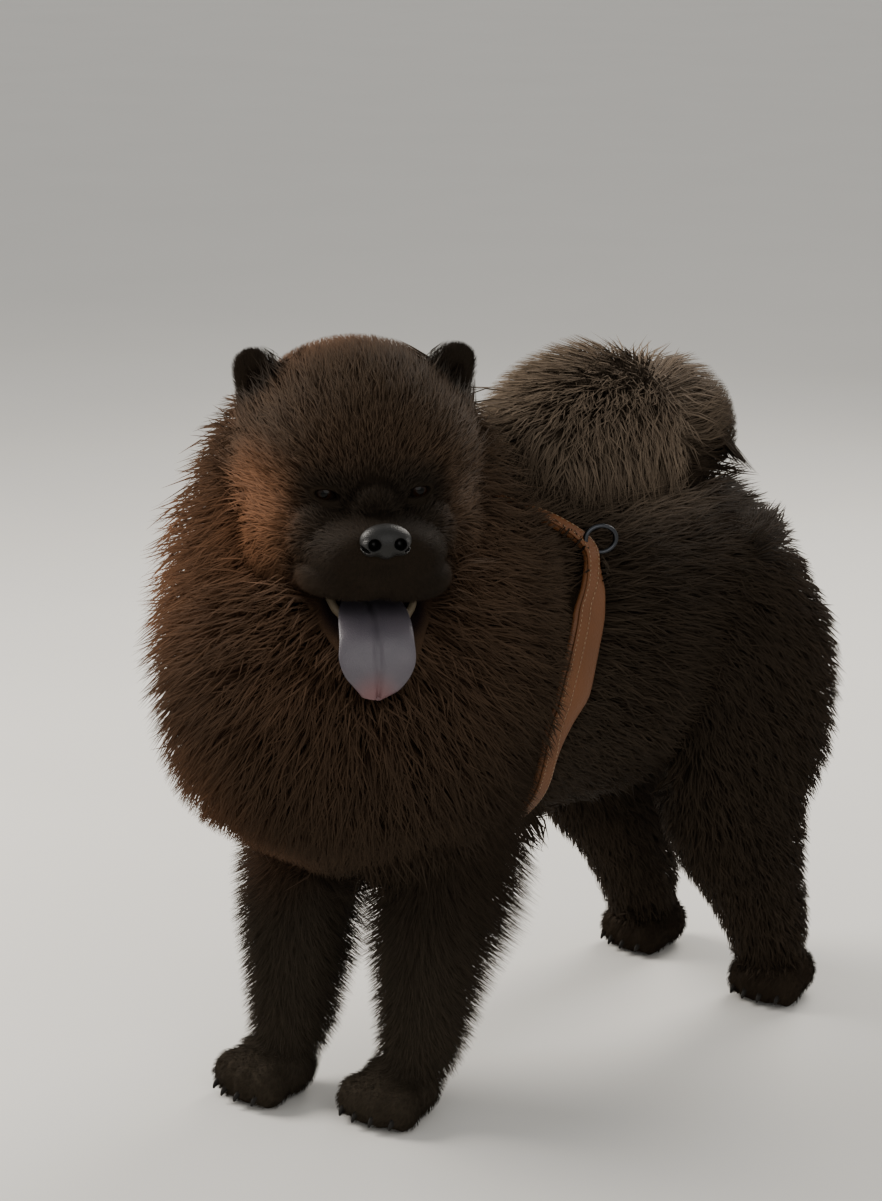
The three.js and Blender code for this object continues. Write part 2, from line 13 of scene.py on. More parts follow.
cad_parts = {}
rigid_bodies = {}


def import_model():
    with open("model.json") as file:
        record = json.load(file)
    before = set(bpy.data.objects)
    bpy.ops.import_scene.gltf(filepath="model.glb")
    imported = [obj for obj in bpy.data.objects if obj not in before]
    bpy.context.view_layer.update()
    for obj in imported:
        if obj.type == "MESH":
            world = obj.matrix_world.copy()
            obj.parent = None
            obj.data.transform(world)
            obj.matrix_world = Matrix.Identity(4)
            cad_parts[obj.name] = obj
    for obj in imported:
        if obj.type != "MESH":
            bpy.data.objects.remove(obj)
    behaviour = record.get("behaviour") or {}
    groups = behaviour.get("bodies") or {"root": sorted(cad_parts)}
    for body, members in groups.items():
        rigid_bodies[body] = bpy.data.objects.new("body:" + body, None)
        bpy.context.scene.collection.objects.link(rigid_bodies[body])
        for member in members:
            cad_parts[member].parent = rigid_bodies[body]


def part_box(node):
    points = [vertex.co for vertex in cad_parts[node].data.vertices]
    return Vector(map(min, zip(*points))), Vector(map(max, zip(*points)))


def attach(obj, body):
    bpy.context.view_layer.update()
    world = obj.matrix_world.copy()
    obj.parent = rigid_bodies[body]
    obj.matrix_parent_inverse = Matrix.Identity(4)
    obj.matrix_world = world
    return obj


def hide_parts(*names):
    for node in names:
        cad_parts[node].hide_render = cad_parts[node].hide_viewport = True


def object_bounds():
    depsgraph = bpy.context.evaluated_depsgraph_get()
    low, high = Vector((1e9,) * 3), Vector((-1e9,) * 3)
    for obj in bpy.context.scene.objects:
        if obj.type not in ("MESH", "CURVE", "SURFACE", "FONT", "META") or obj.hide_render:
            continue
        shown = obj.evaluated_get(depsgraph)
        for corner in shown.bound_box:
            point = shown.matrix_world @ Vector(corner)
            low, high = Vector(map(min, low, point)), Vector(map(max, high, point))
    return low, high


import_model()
solid_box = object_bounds()

SIDES = (1, -1)
HEAD_CENTRE = np.array([19.0, -225.0, 538.0])
HEAD_TURN = math.radians(55.6)
EYE_PLACE = np.array([36.0, -66.0, -2.0])
EYE_RADIUS = 11.0
CHEST = (0.0, 352.0)

turn_c, turn_s = math.cos(HEAD_TURN), math.sin(HEAD_TURN)
HEAD_AXES = np.array([[turn_c, turn_s, 0], [-turn_s, turn_c, 0], [0, 0, 1.0]])
FACING = -HEAD_AXES[1]


def from_head(points):
    return np.asarray(points, float) @ HEAD_AXES + HEAD_CENTRE


def to_head(points):
    return (np.asarray(points, float) - HEAD_CENTRE) @ HEAD_AXES.T


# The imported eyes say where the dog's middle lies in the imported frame
eye_boxes = [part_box("eye_left"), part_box("eye_right")]
packed_eyes = np.array([np.array(low + high) / 2 for low, high in eye_boxes]) * 1000
shaped_eyes = from_head([EYE_PLACE * (s, 1, 1) for s in SIDES])
SHIFT = (packed_eyes - shaped_eyes).mean(axis=0)


# Camera and light
def at(point):
    return Vector((np.asarray(point, float) + SHIFT) * 0.001)


camera_data = bpy.data.cameras.new("camera")
camera = bpy.data.objects.new("camera", camera_data)
bpy.context.collection.objects.link(camera)
camera_data.lens = 107.9
camera_data.sensor_width = 36
camera.location = at((2080.9, -2124.7, 1130))
camera.rotation_euler = Euler((math.radians(90 - 14), 0, math.radians(46)))
bpy.context.scene.camera = camera


def lamp(name, place, aim, size, watts, tone=(1, 1, 1)):
    data = bpy.data.lights.new(name, "AREA")
    data.shape = "DISK"
    data.size = size
    data.energy = watts
    data.color = tone
    light = bpy.data.objects.new(name, data)
    bpy.context.collection.objects.link(light)
    light.location = at(place)
    way = at(aim) - light.location
    light.rotation_euler = way.to_track_quat("-Z", "Y").to_euler()


lamp("key", (-1700, -880, 1700), (0, -100, 350), 1.3, 75, (1, 0.94, 0.86))
lamp("fill", (2200, -1300, 1500), (0, -50, 300), 2.4, 26, (1, 0.98, 0.95))
lamp("rim", (-500, 1900, 1700), (0, 0, 400), 1.4, 45, (1, 0.94, 0.86))
world = bpy.data.worlds.new("studio")
world.use_nodes = True
world.node_tree.nodes["Background"].inputs["Color"].default_value = (1, 0.98, 0.95, 1)
world.node_tree.nodes["Background"].inputs["Strength"].default_value = 0.7
bpy.context.scene.world = world


# Materials
def shader(name, roughness=0.6, **fixed):
    material = bpy.data.materials.new(name)
    material.use_nodes = True
    nodes = material.node_tree.nodes
    surface = nodes["Principled BSDF"]
    surface.inputs["Roughness"].default_value = roughness
    for socket, value in fixed.items():
        surface.inputs[socket.replace("_", " ")].default_value = value
    return material, nodes, material.node_tree.links, surface


def wire(links, socket, value):
    if isinstance(value, bpy.types.NodeSocket):
        links.new(value, socket)
    else:
        socket.default_value = value


def maths(nodes, links, operation, first, second=0.0, clamp=False):
    node = nodes.new("ShaderNodeMath")
    node.operation = operation
    node.use_clamp = clamp
    wire(links, node.inputs[0], first)
    wire(links, node.inputs[1], second)
    return node.outputs[0]


def scaled(nodes, links, value, gain, base):
    out = maths(nodes, links, "MULTIPLY_ADD", value, gain)
    out.node.inputs[2].default_value = base
    return out


def blended(nodes, links, share, first, second, how="MIX"):
    node = nodes.new("ShaderNodeMix")
    node.data_type = "RGBA"
    node.blend_type = how
    wire(links, node.inputs["Factor"], share)
    colour_inputs = [s for s in node.inputs if s.type == "RGBA"]
    for socket, value in zip(colour_inputs, (first, second)):
        if isinstance(value, bpy.types.NodeSocket):
            links.new(value, socket)
        else:
            socket.default_value = (*value, 1)
    return [s for s in node.outputs if s.type == "RGBA"][0]


def place_of(nodes):
    return nodes.new("ShaderNodeTexCoord").outputs["Object"]


def grain(nodes, links, scale, detail=3.0, source=None, stretch=None, kind="Noise"):
    source = source or place_of(nodes)
    if stretch:
        mapping = nodes.new("ShaderNodeMapping")
        mapping.inputs["Scale"].default_value = stretch
        links.new(source, mapping.inputs["Vector"])
        source = mapping.outputs["Vector"]
    node = nodes.new(f"ShaderNodeTex{kind}")
    node.inputs["Scale"].default_value = scale
    if kind == "Noise":
        node.inputs["Detail"].default_value = detail
    links.new(source, node.inputs["Vector"])
    return node.outputs["Distance" if kind == "Voronoi" else "Fac"]


def near(nodes, links, point, inner, outer, squash=(1, 1, 1)):
    """1 within `inner` millimetres of a point, falling to 0 at `outer`."""
    mapping = nodes.new("ShaderNodeMapping")
    mapping.inputs["Scale"].default_value = squash
    links.new(place_of(nodes), mapping.inputs["Vector"])
    gap = nodes.new("ShaderNodeVectorMath")
    gap.operation = "DISTANCE"
    links.new(mapping.outputs["Vector"], gap.inputs[0])
    gap.inputs[1].default_value = at(point) * Vector(squash)
    ramp = nodes.new("ShaderNodeMapRange")
    ramp.interpolation_type = "SMOOTHSTEP"
    links.new(gap.outputs["Value"], ramp.inputs["Value"])
    ramp.inputs["From Min"].default_value = inner * 0.001
    ramp.inputs["From Max"].default_value = outer * 0.001
    ramp.inputs["To Min"].default_value = 1
    ramp.inputs["To Max"].default_value = 0
    return ramp.outputs["Result"]


def bump(nodes, links, surface, height, strength, distance):
    node = nodes.new("ShaderNodeBump")
    node.inputs["Strength"].default_value = strength
    node.inputs["Distance"].default_value = distance * 0.001
    links.new(height, node.inputs["Height"])
    links.new(node.outputs["Normal"], surface.inputs["Normal"])


DARK = (0.0185, 0.013, 0.0085)
BLACK = (0.0115, 0.0085, 0.0058)
# Reddish brown: partly the coat's real sun-bleached red, partly painted warm sunlight
RUST_AND_SUNLIGHT = (0.13, 0.058, 0.028)
# Painted greyish sheen for the lower legs
PAINTED_SHEEN = (0.03, 0.024, 0.017)
BROWN = (0.036, 0.0245, 0.0155)
PLUME = (0.12, 0.09, 0.064)
# Where the coat takes another colour or painted light: point, inner and outer reach, colour and strength
MARKS = [
    ((0, -240, 480), 110, 290, BROWN, 0.75),
    # The rust marks lie on the sunlit side of the mane and cheek ruff: partly real reddish coat, partly painted
    # sunlight
    ((-20, -250, 420), 60, 260, RUST_AND_SUNLIGHT, 0.25),
    ((-120, -260, 430), 30, 160, RUST_AND_SUNLIGHT, 0.75),
    ((-60, -330, 250), 30, 130, RUST_AND_SUNLIGHT, 0.4),
    ((-60, -200, 610), 20, 120, RUST_AND_SUNLIGHT, 0.4),
    (from_head((-90, -30, -20)), 16, 72, RUST_AND_SUNLIGHT, 0.8),
    ((8, 50, 590), 90, 180, PLUME, 0.85),
    # Painted greyish sheen on the lower front legs
    ((70, -230, 60), 60, 190, PAINTED_SHEEN, 0.6),
    ((-50, -240, 60), 60, 190, PAINTED_SHEEN, 0.6),
    ((95, -275, 500), 40, 90, BLACK, 0.85),
    (from_head((0, -110, -50)), 45, 85, BLACK, 0.8),
    # Dark lid rims, with painted shadow of the brow hair round the eyes
    (from_head((-36, -70, -2)), 14, 36, BLACK, 0.8),
    (from_head((36, -70, -2)), 14, 36, BLACK, 0.8),
    (from_head((-82, 16, 80)), 20, 34, BLACK, 0.85),
    (from_head((82, 16, 80)), 20, 34, BLACK, 0.85),
]


def coat_colour(nodes, links):
    patchy = grain(nodes, links, 9.0, 4.0)
    colour = blended(nodes, links, patchy, [c * 0.7 for c in DARK], [c * 1.3 for c in DARK])
    for point, inner, outer, tone, strength in MARKS:
        share = maths(nodes, links, "MULTIPLY", near(nodes, links, point, inner, outer), strength)
        uneven = scaled(nodes, links, patchy, 0.8, 0.6)
        share = maths(nodes, links, "MULTIPLY", share, uneven, clamp=True)
        colour = blended(nodes, links, share, colour, tone)
    return colour


def fur_material(name):
    """The coat: darker at its roots, partly as painted shade deep in the coat and partly as its real lighter
    tips; each tuft and its hairs a little apart in tone.
    """
    material, nodes, links, surface = shader(name, 0.7, Specular_IOR_Level=0.05)
    along, tint, strand = [nodes.new("ShaderNodeAttribute") for _ in range(3)]
    along.attribute_name, tint.attribute_name, strand.attribute_name = "along", "tint", "strand"
    fine = grain(nodes, links, 1.0, 2.0, strand.outputs["Vector"])
    # Darker towards the roots: painted shade within the coat, together with the real lighter tips
    tone = scaled(nodes, links, along.outputs["Fac"], 0.5, 0.78)
    spread = scaled(nodes, links, tint.outputs["Fac"], 0.55, 0.75)
    hairs = scaled(nodes, links, fine, 0.8, 0.6)
    tone = maths(nodes, links, "MULTIPLY", tone, spread)
    tone = maths(nodes, links, "MULTIPLY", tone, hairs)
    grey = nodes.new("ShaderNodeCombineColor")
    for socket in grey.inputs[:3]:
        links.new(tone, socket)
    colour = blended(nodes, links, 1.0, coat_colour(nodes, links), grey.outputs["Color"], "MULTIPLY")
    links.new(colour, surface.inputs["Base Color"])
    bump(nodes, links, surface, fine, 0.5, 0.4)
    return material


def hide_material():
    material, nodes, links, surface = shader("hide", 0.8, Specular_IOR_Level=0.03)
    colour = coat_colour(nodes, links)
    # The hide round and inside the mouth turns nearly black
    mouth_dark = near(nodes, links, from_head((0, -84, -84)), 36, 50)
    colour = blended(nodes, links, mouth_dark, colour, (0.007, 0.004, 0.0045))
    links.new(colour, surface.inputs["Base Color"])
    short_hair = grain(nodes, links, 800.0, 2.0, stretch=(1, 1, 0.35))
    bump(nodes, links, surface, short_hair, 0.9, 1.2)
    return material


def plain_material(name, first, second, scale, roughness, height=0.3, kind="Noise", painted_shade_pits=(), **fixed):
    """Mottled, with a fine grain, and black in the pits as painted shade."""
    material, nodes, links, surface = shader(name, roughness, **fixed)
    patchy = grain(nodes, links, scale * 0.2)
    colour = blended(nodes, links, patchy, first, second)
    # Painted shade: near black in the pits
    for pit in painted_shade_pits:
        colour = blended(nodes, links, near(nodes, links, pit, 4.6, 6.4), colour, (0.001, 0.001, 0.001))
    links.new(colour, surface.inputs["Base Color"])
    bump(nodes, links, surface, grain(nodes, links, scale, kind=kind), 0.5, height)
    return material


# Forms
def spline(points, u):
    p = np.asarray(points, float)
    last = len(p) - 1
    p = np.vstack([2 * p[0] - p[1], p, 2 * p[-1] - p[-2]])
    t = np.clip(u, 0, 1) * last
    i = np.minimum(t.astype(int), last - 1)
    f = (t - i)[:, None]
    a, b, c, d = p[i], p[i + 1], p[i + 2], p[i + 3]
    cubic = (2 * a - 5 * b + 4 * c - d) * f**2 + (3 * b - a - 3 * c + d) * f**3
    return (2 * b + (c - a) * f + cubic) / 2


def unit(vectors):
    vectors = np.asarray(vectors, float)
    return vectors / np.maximum(np.linalg.norm(vectors, axis=-1, keepdims=True), 1e-9)


class Form:
    """A closed body along a line of stations: x, y, z, half width, above, below, coat beyond."""

    def __init__(self, stations, side=(1, 0, 0), thin=1.0, inset=0.0, fluff=3.0, on_head=False):
        self.stations = np.array([list(s) + [0] * (7 - len(s)) for s in stations], float)
        self.side, self.thin, self.on_head = np.array(side, float), thin, on_head
        self.inset, self.fluff = inset, fluff

    def surface(self, u, angle, grow=0.0, share=0.0):
        step = 0.01
        values = spline(self.stations, u)
        forward = unit(spline(self.stations, u + step)[:, :3] - spline(self.stations, u - step)[:, :3])
        across = unit(self.side - forward * (forward @ self.side)[:, None])
        above = np.cross(across, forward)
        sin, cos = np.sin(angle), np.cos(angle)
        wide = values[:, 3]
        high = np.where(sin > 0, values[:, 4], values[:, 5])
        core = values[:, :3] + across * (wide * cos)[:, None] + above * (high * sin)[:, None]
        out = unit(across * (cos / wide)[:, None] + above * (sin / high)[:, None])
        tail_end, head_end = u < 0.002, u > 0.998
        out = np.where(tail_end[:, None], -forward, np.where(head_end[:, None], forward, out))
        core = np.where((tail_end | head_end)[:, None], values[:, :3], core)
        coat = np.maximum(values[:, 6], 0) * (self.thin + (1 - self.thin) * np.maximum(sin, 0))
        points = core + out * (grow + share * coat)[:, None]
        return from_head(points) if self.on_head else points

    def add_to(self, bm, around=32, rings=22, grow=0.0, share=0.0, blunt=0.75):
        made = bmesh.ops.create_uvsphere(bm, u_segments=around, v_segments=rings, radius=1)["verts"]
        ball = np.array([v.co for v in made])
        even = np.arccos(np.clip(ball[:, 2], -1, 1)) / math.pi
        u = even + (((1 - ball[:, 2]) / 2) - even) * blunt
        angle = np.arctan2(ball[:, 1], ball[:, 0])
        for vert, point in zip(made, self.surface(u, angle, grow, share)):
            vert.co = point

    def axis(self, count=20):
        values = spline(self.stations, np.linspace(0, 1, count))
        points = from_head(values[:, :3]) if self.on_head else values[:, :3]
        return points, values[:, 3:6].mean(axis=1) + 0.5 * np.maximum(values[:, 6], 0)


def add_ball(bm, centre, radii, turn=(0, 0, 0), on_head=True, around=24, rings=16, grow=0.0):
    made = bmesh.ops.create_uvsphere(bm, u_segments=around, v_segments=rings, radius=1)["verts"]
    rotation = np.array(Euler([math.radians(t) for t in turn]).to_matrix())
    points = (np.array([v.co for v in made]) * (np.array(radii) + grow)) @ rotation.T + centre
    for vert, point in zip(made, from_head(points) if on_head else points):
        vert.co = point


def object_from(bm, name):
    bmesh.ops.recalc_face_normals(bm, faces=bm.faces)
    mesh = bpy.data.meshes.new(name)
    bm.to_mesh(mesh)
    bm.free()
    made = bpy.data.objects.new(name, mesh)
    bpy.context.collection.objects.link(made)
    return made


def settle(shape):
    graph = bpy.context.evaluated_depsgraph_get()
    mesh = bpy.data.meshes.new_from_object(shape.evaluated_get(graph))
    shape.modifiers.clear()
    shape.data = mesh
    return shape


def fused(shape, voxel, smooth=2):
    mend = shape.modifiers.new("fuse", "REMESH")
    mend.mode = "VOXEL"
    mend.voxel_size = voxel
    if smooth:
        ease = shape.modifiers.new("ease", "SMOOTH")
        ease.iterations = smooth
    return settle(shape)


def joined(shape, tool, operation):
    change = shape.modifiers.new(operation.lower(), "BOOLEAN")
    change.operation = operation
    change.solver = "MANIFOLD"
    change.object = tool
    settle(shape)
    bpy.data.objects.remove(tool)
    return shape


def points_of(mesh):
    flat = np.empty(len(mesh.vertices) * 3, np.float32)
    mesh.vertices.foreach_get("co", flat)
    return flat.reshape(-1, 3).astype(float)


def normals_of(mesh):
    flat = np.empty(len(mesh.vertices) * 3, np.float32)
    mesh.vertex_normals.foreach_get("vector", flat)
    return flat.reshape(-1, 3).astype(float)


def put(mesh, points):
    mesh.vertices.foreach_set("co", np.asarray(points, np.float32).ravel())
    mesh.update()


def piece(shape, material, nodes=()):
    """Turns a finished form in millimetres into a piece of the dog."""
    put(shape.data, (points_of(shape.data) + SHIFT) * 0.001)
    shape.data.shade_smooth()
    shape.data.materials.clear()
    shape.data.materials.append(material)
    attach(shape, "root")
    if nodes:
        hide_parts(*nodes)
    return shape


TORSO = Form([
    (0, -205, 345, 60, 62, 70, 4), (0, -165, 350, 104, 112, 118, 4), (0, -110, 350, 118, 136, 132, 4),
    (0, -50, 352, 119, 136, 128, 10), (0, 0, 356, 116, 132, 120, 32), (0, 60, 362, 112, 122, 106, 42),
    (0, 125, 372, 106, 102, 90, 44), (0, 185, 368, 90, 80, 76, 42), (0, 222, 364, 66, 62, 60, 40),
    (0, 244, 362, 30, 32, 32, 38),
], inset=9, fluff=6)
MANE = Form([
    (18, -240, 240, 46, 42, 40, 36), (18, -238, 272, 90, 80, 80, 44), (14, -228, 345, 114, 92, 98, 50),
    (0, -214, 400, 118, 80, 98, 50), (-14, -204, 452, 114, 46, 92, 48), (-26, -194, 498, 106, 34, 80, 46),
    (-40, -184, 540, 96, 30, 60, 32), (-42, -184, 580, 74, 22, 40, 20), (-42, -184, 604, 32, 12, 18, 14),
], side=(0.72, 0.69, 0), inset=12, fluff=9)
TAIL = Form([
    (0, 162, 458, 20, 20, 20, 8), (0, 166, 492, 28, 24, 24, 18), (2, 144, 524, 38, 36, 32, 24),
    (5, 92, 538, 46, 48, 34, 28), (10, 34, 537, 44, 48, 32, 28), (15, -16, 531, 32, 38, 22, 26),
    (18, -44, 526, 12, 10, 8, 20),
], inset=7, fluff=9)
LEGS = {
    "leg_front_left": Form([
        (82, -152, 318, 36, 42, 40, 4), (77, -162, 280, 47, 53, 47, 14), (68, -182, 215, 44, 54, 44, 48),
        (64, -192, 160, 40, 48, 42, 40), (64, -196, 110, 36, 40, 37, 18), (64, -202, 66, 33, 34, 33, 8),
        (60, -210, 40, 28, 28, 28, 2),
    ], thin=0.3, inset=5, fluff=6),
    "leg_front_right": Form([
        (-77, -166, 318, 36, 42, 40, 4), (-74, -180, 280, 52, 53, 47, 14), (-62, -208, 215, 53, 52, 44, 34),
        (-55, -228, 160, 47, 46, 42, 26), (-52, -236, 110, 39, 40, 37, 14), (-50, -242, 66, 33, 34, 33, 8),
        (-51, -250, 40, 28, 28, 28, 2),
    ], thin=0.3, inset=5, fluff=6),
    "leg_hind_left": Form([
        (68, 160, 420, 38, 54, 56, 6), (86, 158, 350, 46, 80, 78, 24), (92, 152, 265, 46, 80, 76, 26),
        (89, 152, 195, 40, 62, 62, 24), (86, 180, 130, 34, 42, 42, 14), (86, 200, 85, 31, 34, 34, 6),
        (86, 214, 45, 28, 28, 28, 2),
    ], thin=0.3, inset=5, fluff=6),
    "leg_hind_right": Form([
        (-68, 164, 420, 38, 54, 56, 6), (-86, 164, 350, 46, 80, 78, 24), (-92, 162, 265, 46, 80, 76, 26),
        (-89, 168, 195, 40, 62, 62, 24), (-86, 198, 130, 34, 42, 42, 14), (-86, 218, 85, 31, 34, 34, 6),
        (-86, 230, 45, 28, 28, 28, 2),
    ], thin=0.3, inset=5, fluff=6),
}
# Place, half width and half length, and turn in degrees
PAWS = {
    "paw_front_left": ((57, -222), (37, 45), 8),
    "paw_front_right": ((-52, -262), (37, 45), -4),
    "paw_hind_left": ((87, 222), (34, 42), 6),
    "paw_hind_right": ((-87, 240), (34, 42), -6),
}
SKULL = Form([
    (0, 84, 8, 34, 36, 36, 10), (0, 60, 10, 66, 55, 64, 18), (0, 10, 10, 78, 60, 72, 20),
    (0, -35, 4, 74, 60, 60, 14), (0, -66, -10, 58, 48, 38, 6), (0, -80, -18, 30, 28, 16, 2),
], inset=5, on_head=True)
MUZZLE = Form([
    (0, -40, -36, 60, 38, 34), (0, -74, -41, 57, 37, 31), (0, -108, -44, 51, 34, 29),
    (0, -132, -46, 41, 29, 27), (0, -144, -46, 20, 16, 16),
], inset=1.5, on_head=True)
LIPS = [Form([
    (s * 4, -134, -60, 12, 12, 14), (s * 24, -126, -62, 13, 13, 15), (s * 42, -104, -64, 13, 12, 15),
    (s * 50, -80, -66, 10, 9, 13), (s * 48, -60, -68, 6, 5, 7),
], side=(0, -1, 0), inset=1, on_head=True) for s in SIDES]
JAW = Form([
    (0, -28, -74, 44, 20, 12), (0, -62, -93, 52, 18, 12), (0, -92, -111, 41, 16, 12),
    (0, -116, -126, 30, 13, 10), (0, -127, -133, 13, 7, 6),
], inset=1.5, on_head=True)
EARS = [Form([
    (s * 66, 26, 36, 20, 15, 15), (s * 70, 24, 46, 22, 15, 15), (s * 77, 21, 66, 18, 11, 12),
    (s * 82, 18, 82, 16, 8, 9), (s * 85, 16, 93, 12, 5, 6), (s * 86, 15, 97, 5, 3, 3),
], side=(0.92, s * -0.2, 0), inset=1, on_head=True) for s in SIDES]
TONGUE = Form([
    (-1, -50, -86, 18, 4, 4), (-2, -82, -90, 25, 4.5, 4.5), (-4, -110, -95, 28, 4.5, 4.5),
    (-5, -129, -106, 29, 4.5, 4.5), (-6, -137, -122, 29.5, 4, 4), (-8, -138, -138, 22, 3.5, 3.5),
    (-11, -136, -151, 7, 2.5, 2.5),
], on_head=True)
MOUTH = ((0, -84, -78), (44, 48, 20), (-8, 0, 0))
MUZZLE_ROOM = ((0, -104, -98), (54, 66, 44))


def fissure(s):
    """The almond opening between the lids: centre, radii, turn."""
    x, y, z = EYE_PLACE
    return (s * (x + 1), y - 18, z - 0.5), (11.5, 22, 4.4), (0, s * -8, s * 10)


def add_paw(bm, spec, grow=0.0):
    (px, py), (wide, long), turn = spec
    balls = [((0, 2, 26), (wide * 0.94, long * 0.84, 26))]
    for n in (-1.5, -0.5, 0.5, 1.5):
        balls.append(((n * wide * 0.47, -(long - 16 - abs(n) * 5), 21), (wide * 0.33, 19, 20)))
    spin = Matrix.Rotation(math.radians(turn), 4, "Z")
    for centre, radii in balls:
        place = spin @ Vector(centre) + Vector((px, py, -3))
        add_ball(bm, place, radii, (0, 0, turn), on_head=False, grow=grow)


# The hide, one closed skin from the nose to the tail
HEAD_VOXEL = 1.7
BODY_VOXEL = 4.6


def body_shape(name, voxel, smooth, coat):
    """The body without the head: bare, or out to the tips of its coat."""
    bm = bmesh.new()
    for form in [TORSO, MANE, TAIL, *LEGS.values()]:
        form.add_to(bm, grow=form.fluff if coat else -form.inset, share=1 if coat else 0)
    for spec in PAWS.values():
        add_paw(bm, spec, 2 if coat else -1)
    body = fused(object_from(bm, name), voxel, smooth)
    bm = bmesh.new()
    add_ball(bm, *MUZZLE_ROOM, grow=0 if coat else 4)
    return joined(body, object_from(bm, "muzzle_room"), "DIFFERENCE")


def add_head(bm, coat):
    for form in [SKULL, MUZZLE, *LIPS, *EARS]:
        form.add_to(bm, grow=1.5 if coat else -form.inset, share=1 if coat else 0)
    if coat:
        add_ball(bm, (0, 14, -16), (106, 88, 94))
        add_ball(bm, (0, 18, 60), (90, 54, 31))
    deep = 4 if coat else -5
    for s in SIDES:
        add_ball(bm, (s * 44, -26, -36), (42, 56, 48), grow=deep)
        x, y, z = EYE_PLACE
        add_ball(bm, (s * x, y + 8, z + 15), (22, 18, 12), grow=deep * 0.3)
        add_ball(bm, (s * x, y, z), (17, 15, 14), grow=deep * 0.15)
        add_ball(bm, (s * 36, -62, -36), (29, 36, 31), grow=1.5 if coat else -1)
    add_ball(bm, (0, -76, -14), (19, 34, 20), (-24, 0, 0), grow=1.5 if coat else -1)


# Folds of the face: points in the head's frame, width and depth
FOLDS = [
    ([(13, -90, -12), (25, -98, -30), (41, -92, -48), (53, -74, -60)], 3.5, 2.2),
    ([(15, -86, 17), (34, -84, 23), (55, -64, 17)], 5.0, 2.5),
    ([(20, -84, -16), (38, -84, -17), (54, -66, -12)], 3.0, 1.6),
    ([(3, -84, 26), (3, -94, 4), (2, -104, -8)], 4.0, 1.8),
    ([(0, -152, -44), (0, -150, -56), (0, -146, -64)], 1.6, 1.6),
]


def creased(points, normals):
    """Points pressed in along the folds of the face."""
    local = to_head(points)
    sunk = np.zeros(len(points))
    for line, width, depth in FOLDS:
        for s in SIDES:
            path = spline(line, np.linspace(0, 1, 24)) * (s, 1, 1)
            gap = np.full(len(points), 1e9)
            for spot in path:
                gap = np.minimum(gap, np.linalg.norm(local - spot, axis=1))
            sunk = np.maximum(sunk, depth * np.exp(-((gap / width) ** 2)))
    return points - normals * sunk[:, None]


def head_shape():
    bm = bmesh.new()
    add_head(bm, coat=False)
    head = fused(object_from(bm, "head_skin"), HEAD_VOXEL, 3)
    bm = bmesh.new()
    add_ball(bm, *MOUTH, around=40, rings=24)
    for s in SIDES:
        add_ball(bm, *fissure(s), around=32, rings=20)
    for s in SIDES:
        add_ball(bm, (s * 80, 7, 71), (7, 8, 14), (0, s * 24, 0))
    head = joined(head, object_from(bm, "openings"), "DIFFERENCE")
    bm = bmesh.new()
    bm.from_mesh(head.data)
    JAW.add_to(bm, grow=-JAW.inset)
    bpy.data.objects.remove(head)
    head = fused(object_from(bm, "head_skin"), HEAD_VOXEL, 2)
    put(head.data, creased(points_of(head.data), normals_of(head.data)))
    return head


hide = joined(head_shape(), body_shape("body", BODY_VOXEL, 4, coat=False), "UNION")
hide.name = "hide"
SOLE = 0.4
standing = points_of(hide.data)
standing[:, 2] = np.maximum(standing[:, 2], SOLE)
put(hide.data, standing)
bm = bmesh.new()
bm.from_mesh(hide.data)
bmesh.ops.triangulate(bm, faces=bm.faces)
bm.verts.index_update()
corners = len(bm.verts)


def face_order(face):
    """A number from the face's corners alone, so that each run keeps the faces in one order."""
    low, middle, high = sorted(v.index for v in face.verts)
    return float((low * corners + middle) * corners + high)


bm.faces.sort(key=face_order)
bm.to_mesh(hide.data)
bm.free()

def coat_bound():
    """The outer bound of the coat, to measure its depth against."""
    body = body_shape("bound", 6.0, 3, coat=True)
    bm = bmesh.new()
    bm.from_mesh(body.data)
    add_head(bm, coat=True)
    JAW.add_to(bm, grow=1.5)
    bpy.data.objects.remove(body)
    bound = fused(object_from(bm, "bound"), 5.0, 1)
    bm = bmesh.new()
    bm.from_mesh(bound.data)
    tree = BVHTree.FromBMesh(bm)
    bm.free()
    bpy.data.objects.remove(bound)
    return tree


HULL = coat_bound()

# An unwrap of the hide, which the coat's patches share
bpy.context.view_layer.objects.active = hide
for other in bpy.data.objects:
    other.select_set(other == hide)
bpy.ops.object.mode_set(mode="EDIT")
bpy.ops.mesh.select_all(action="SELECT")
bpy.ops.uv.smart_project(angle_limit=1.2, island_margin=0.002)
bpy.ops.object.mode_set(mode="OBJECT")

hide_points = points_of(hide.data)
hide_normals = normals_of(hide.data)
loops = np.empty(len(hide.data.polygons) * 3, np.int32)
hide.data.loops.foreach_get("vertex_index", loops)
triangles = loops.reshape(-1, 3)
flat = np.empty(len(loops) * 2, np.float32)
hide.data.uv_layers[0].uv.foreach_get("vector", flat)
triangle_uvs = flat.reshape(-1, 3, 2)
# Each triangle starts at its lowest corner, whichever way the joining left it
turned = (triangles.argmin(axis=1)[:, None] + np.arange(3)) % 3
triangles = np.take_along_axis(triangles, turned, axis=1)
triangle_uvs = np.take_along_axis(triangle_uvs, turned[:, :, None], axis=1)


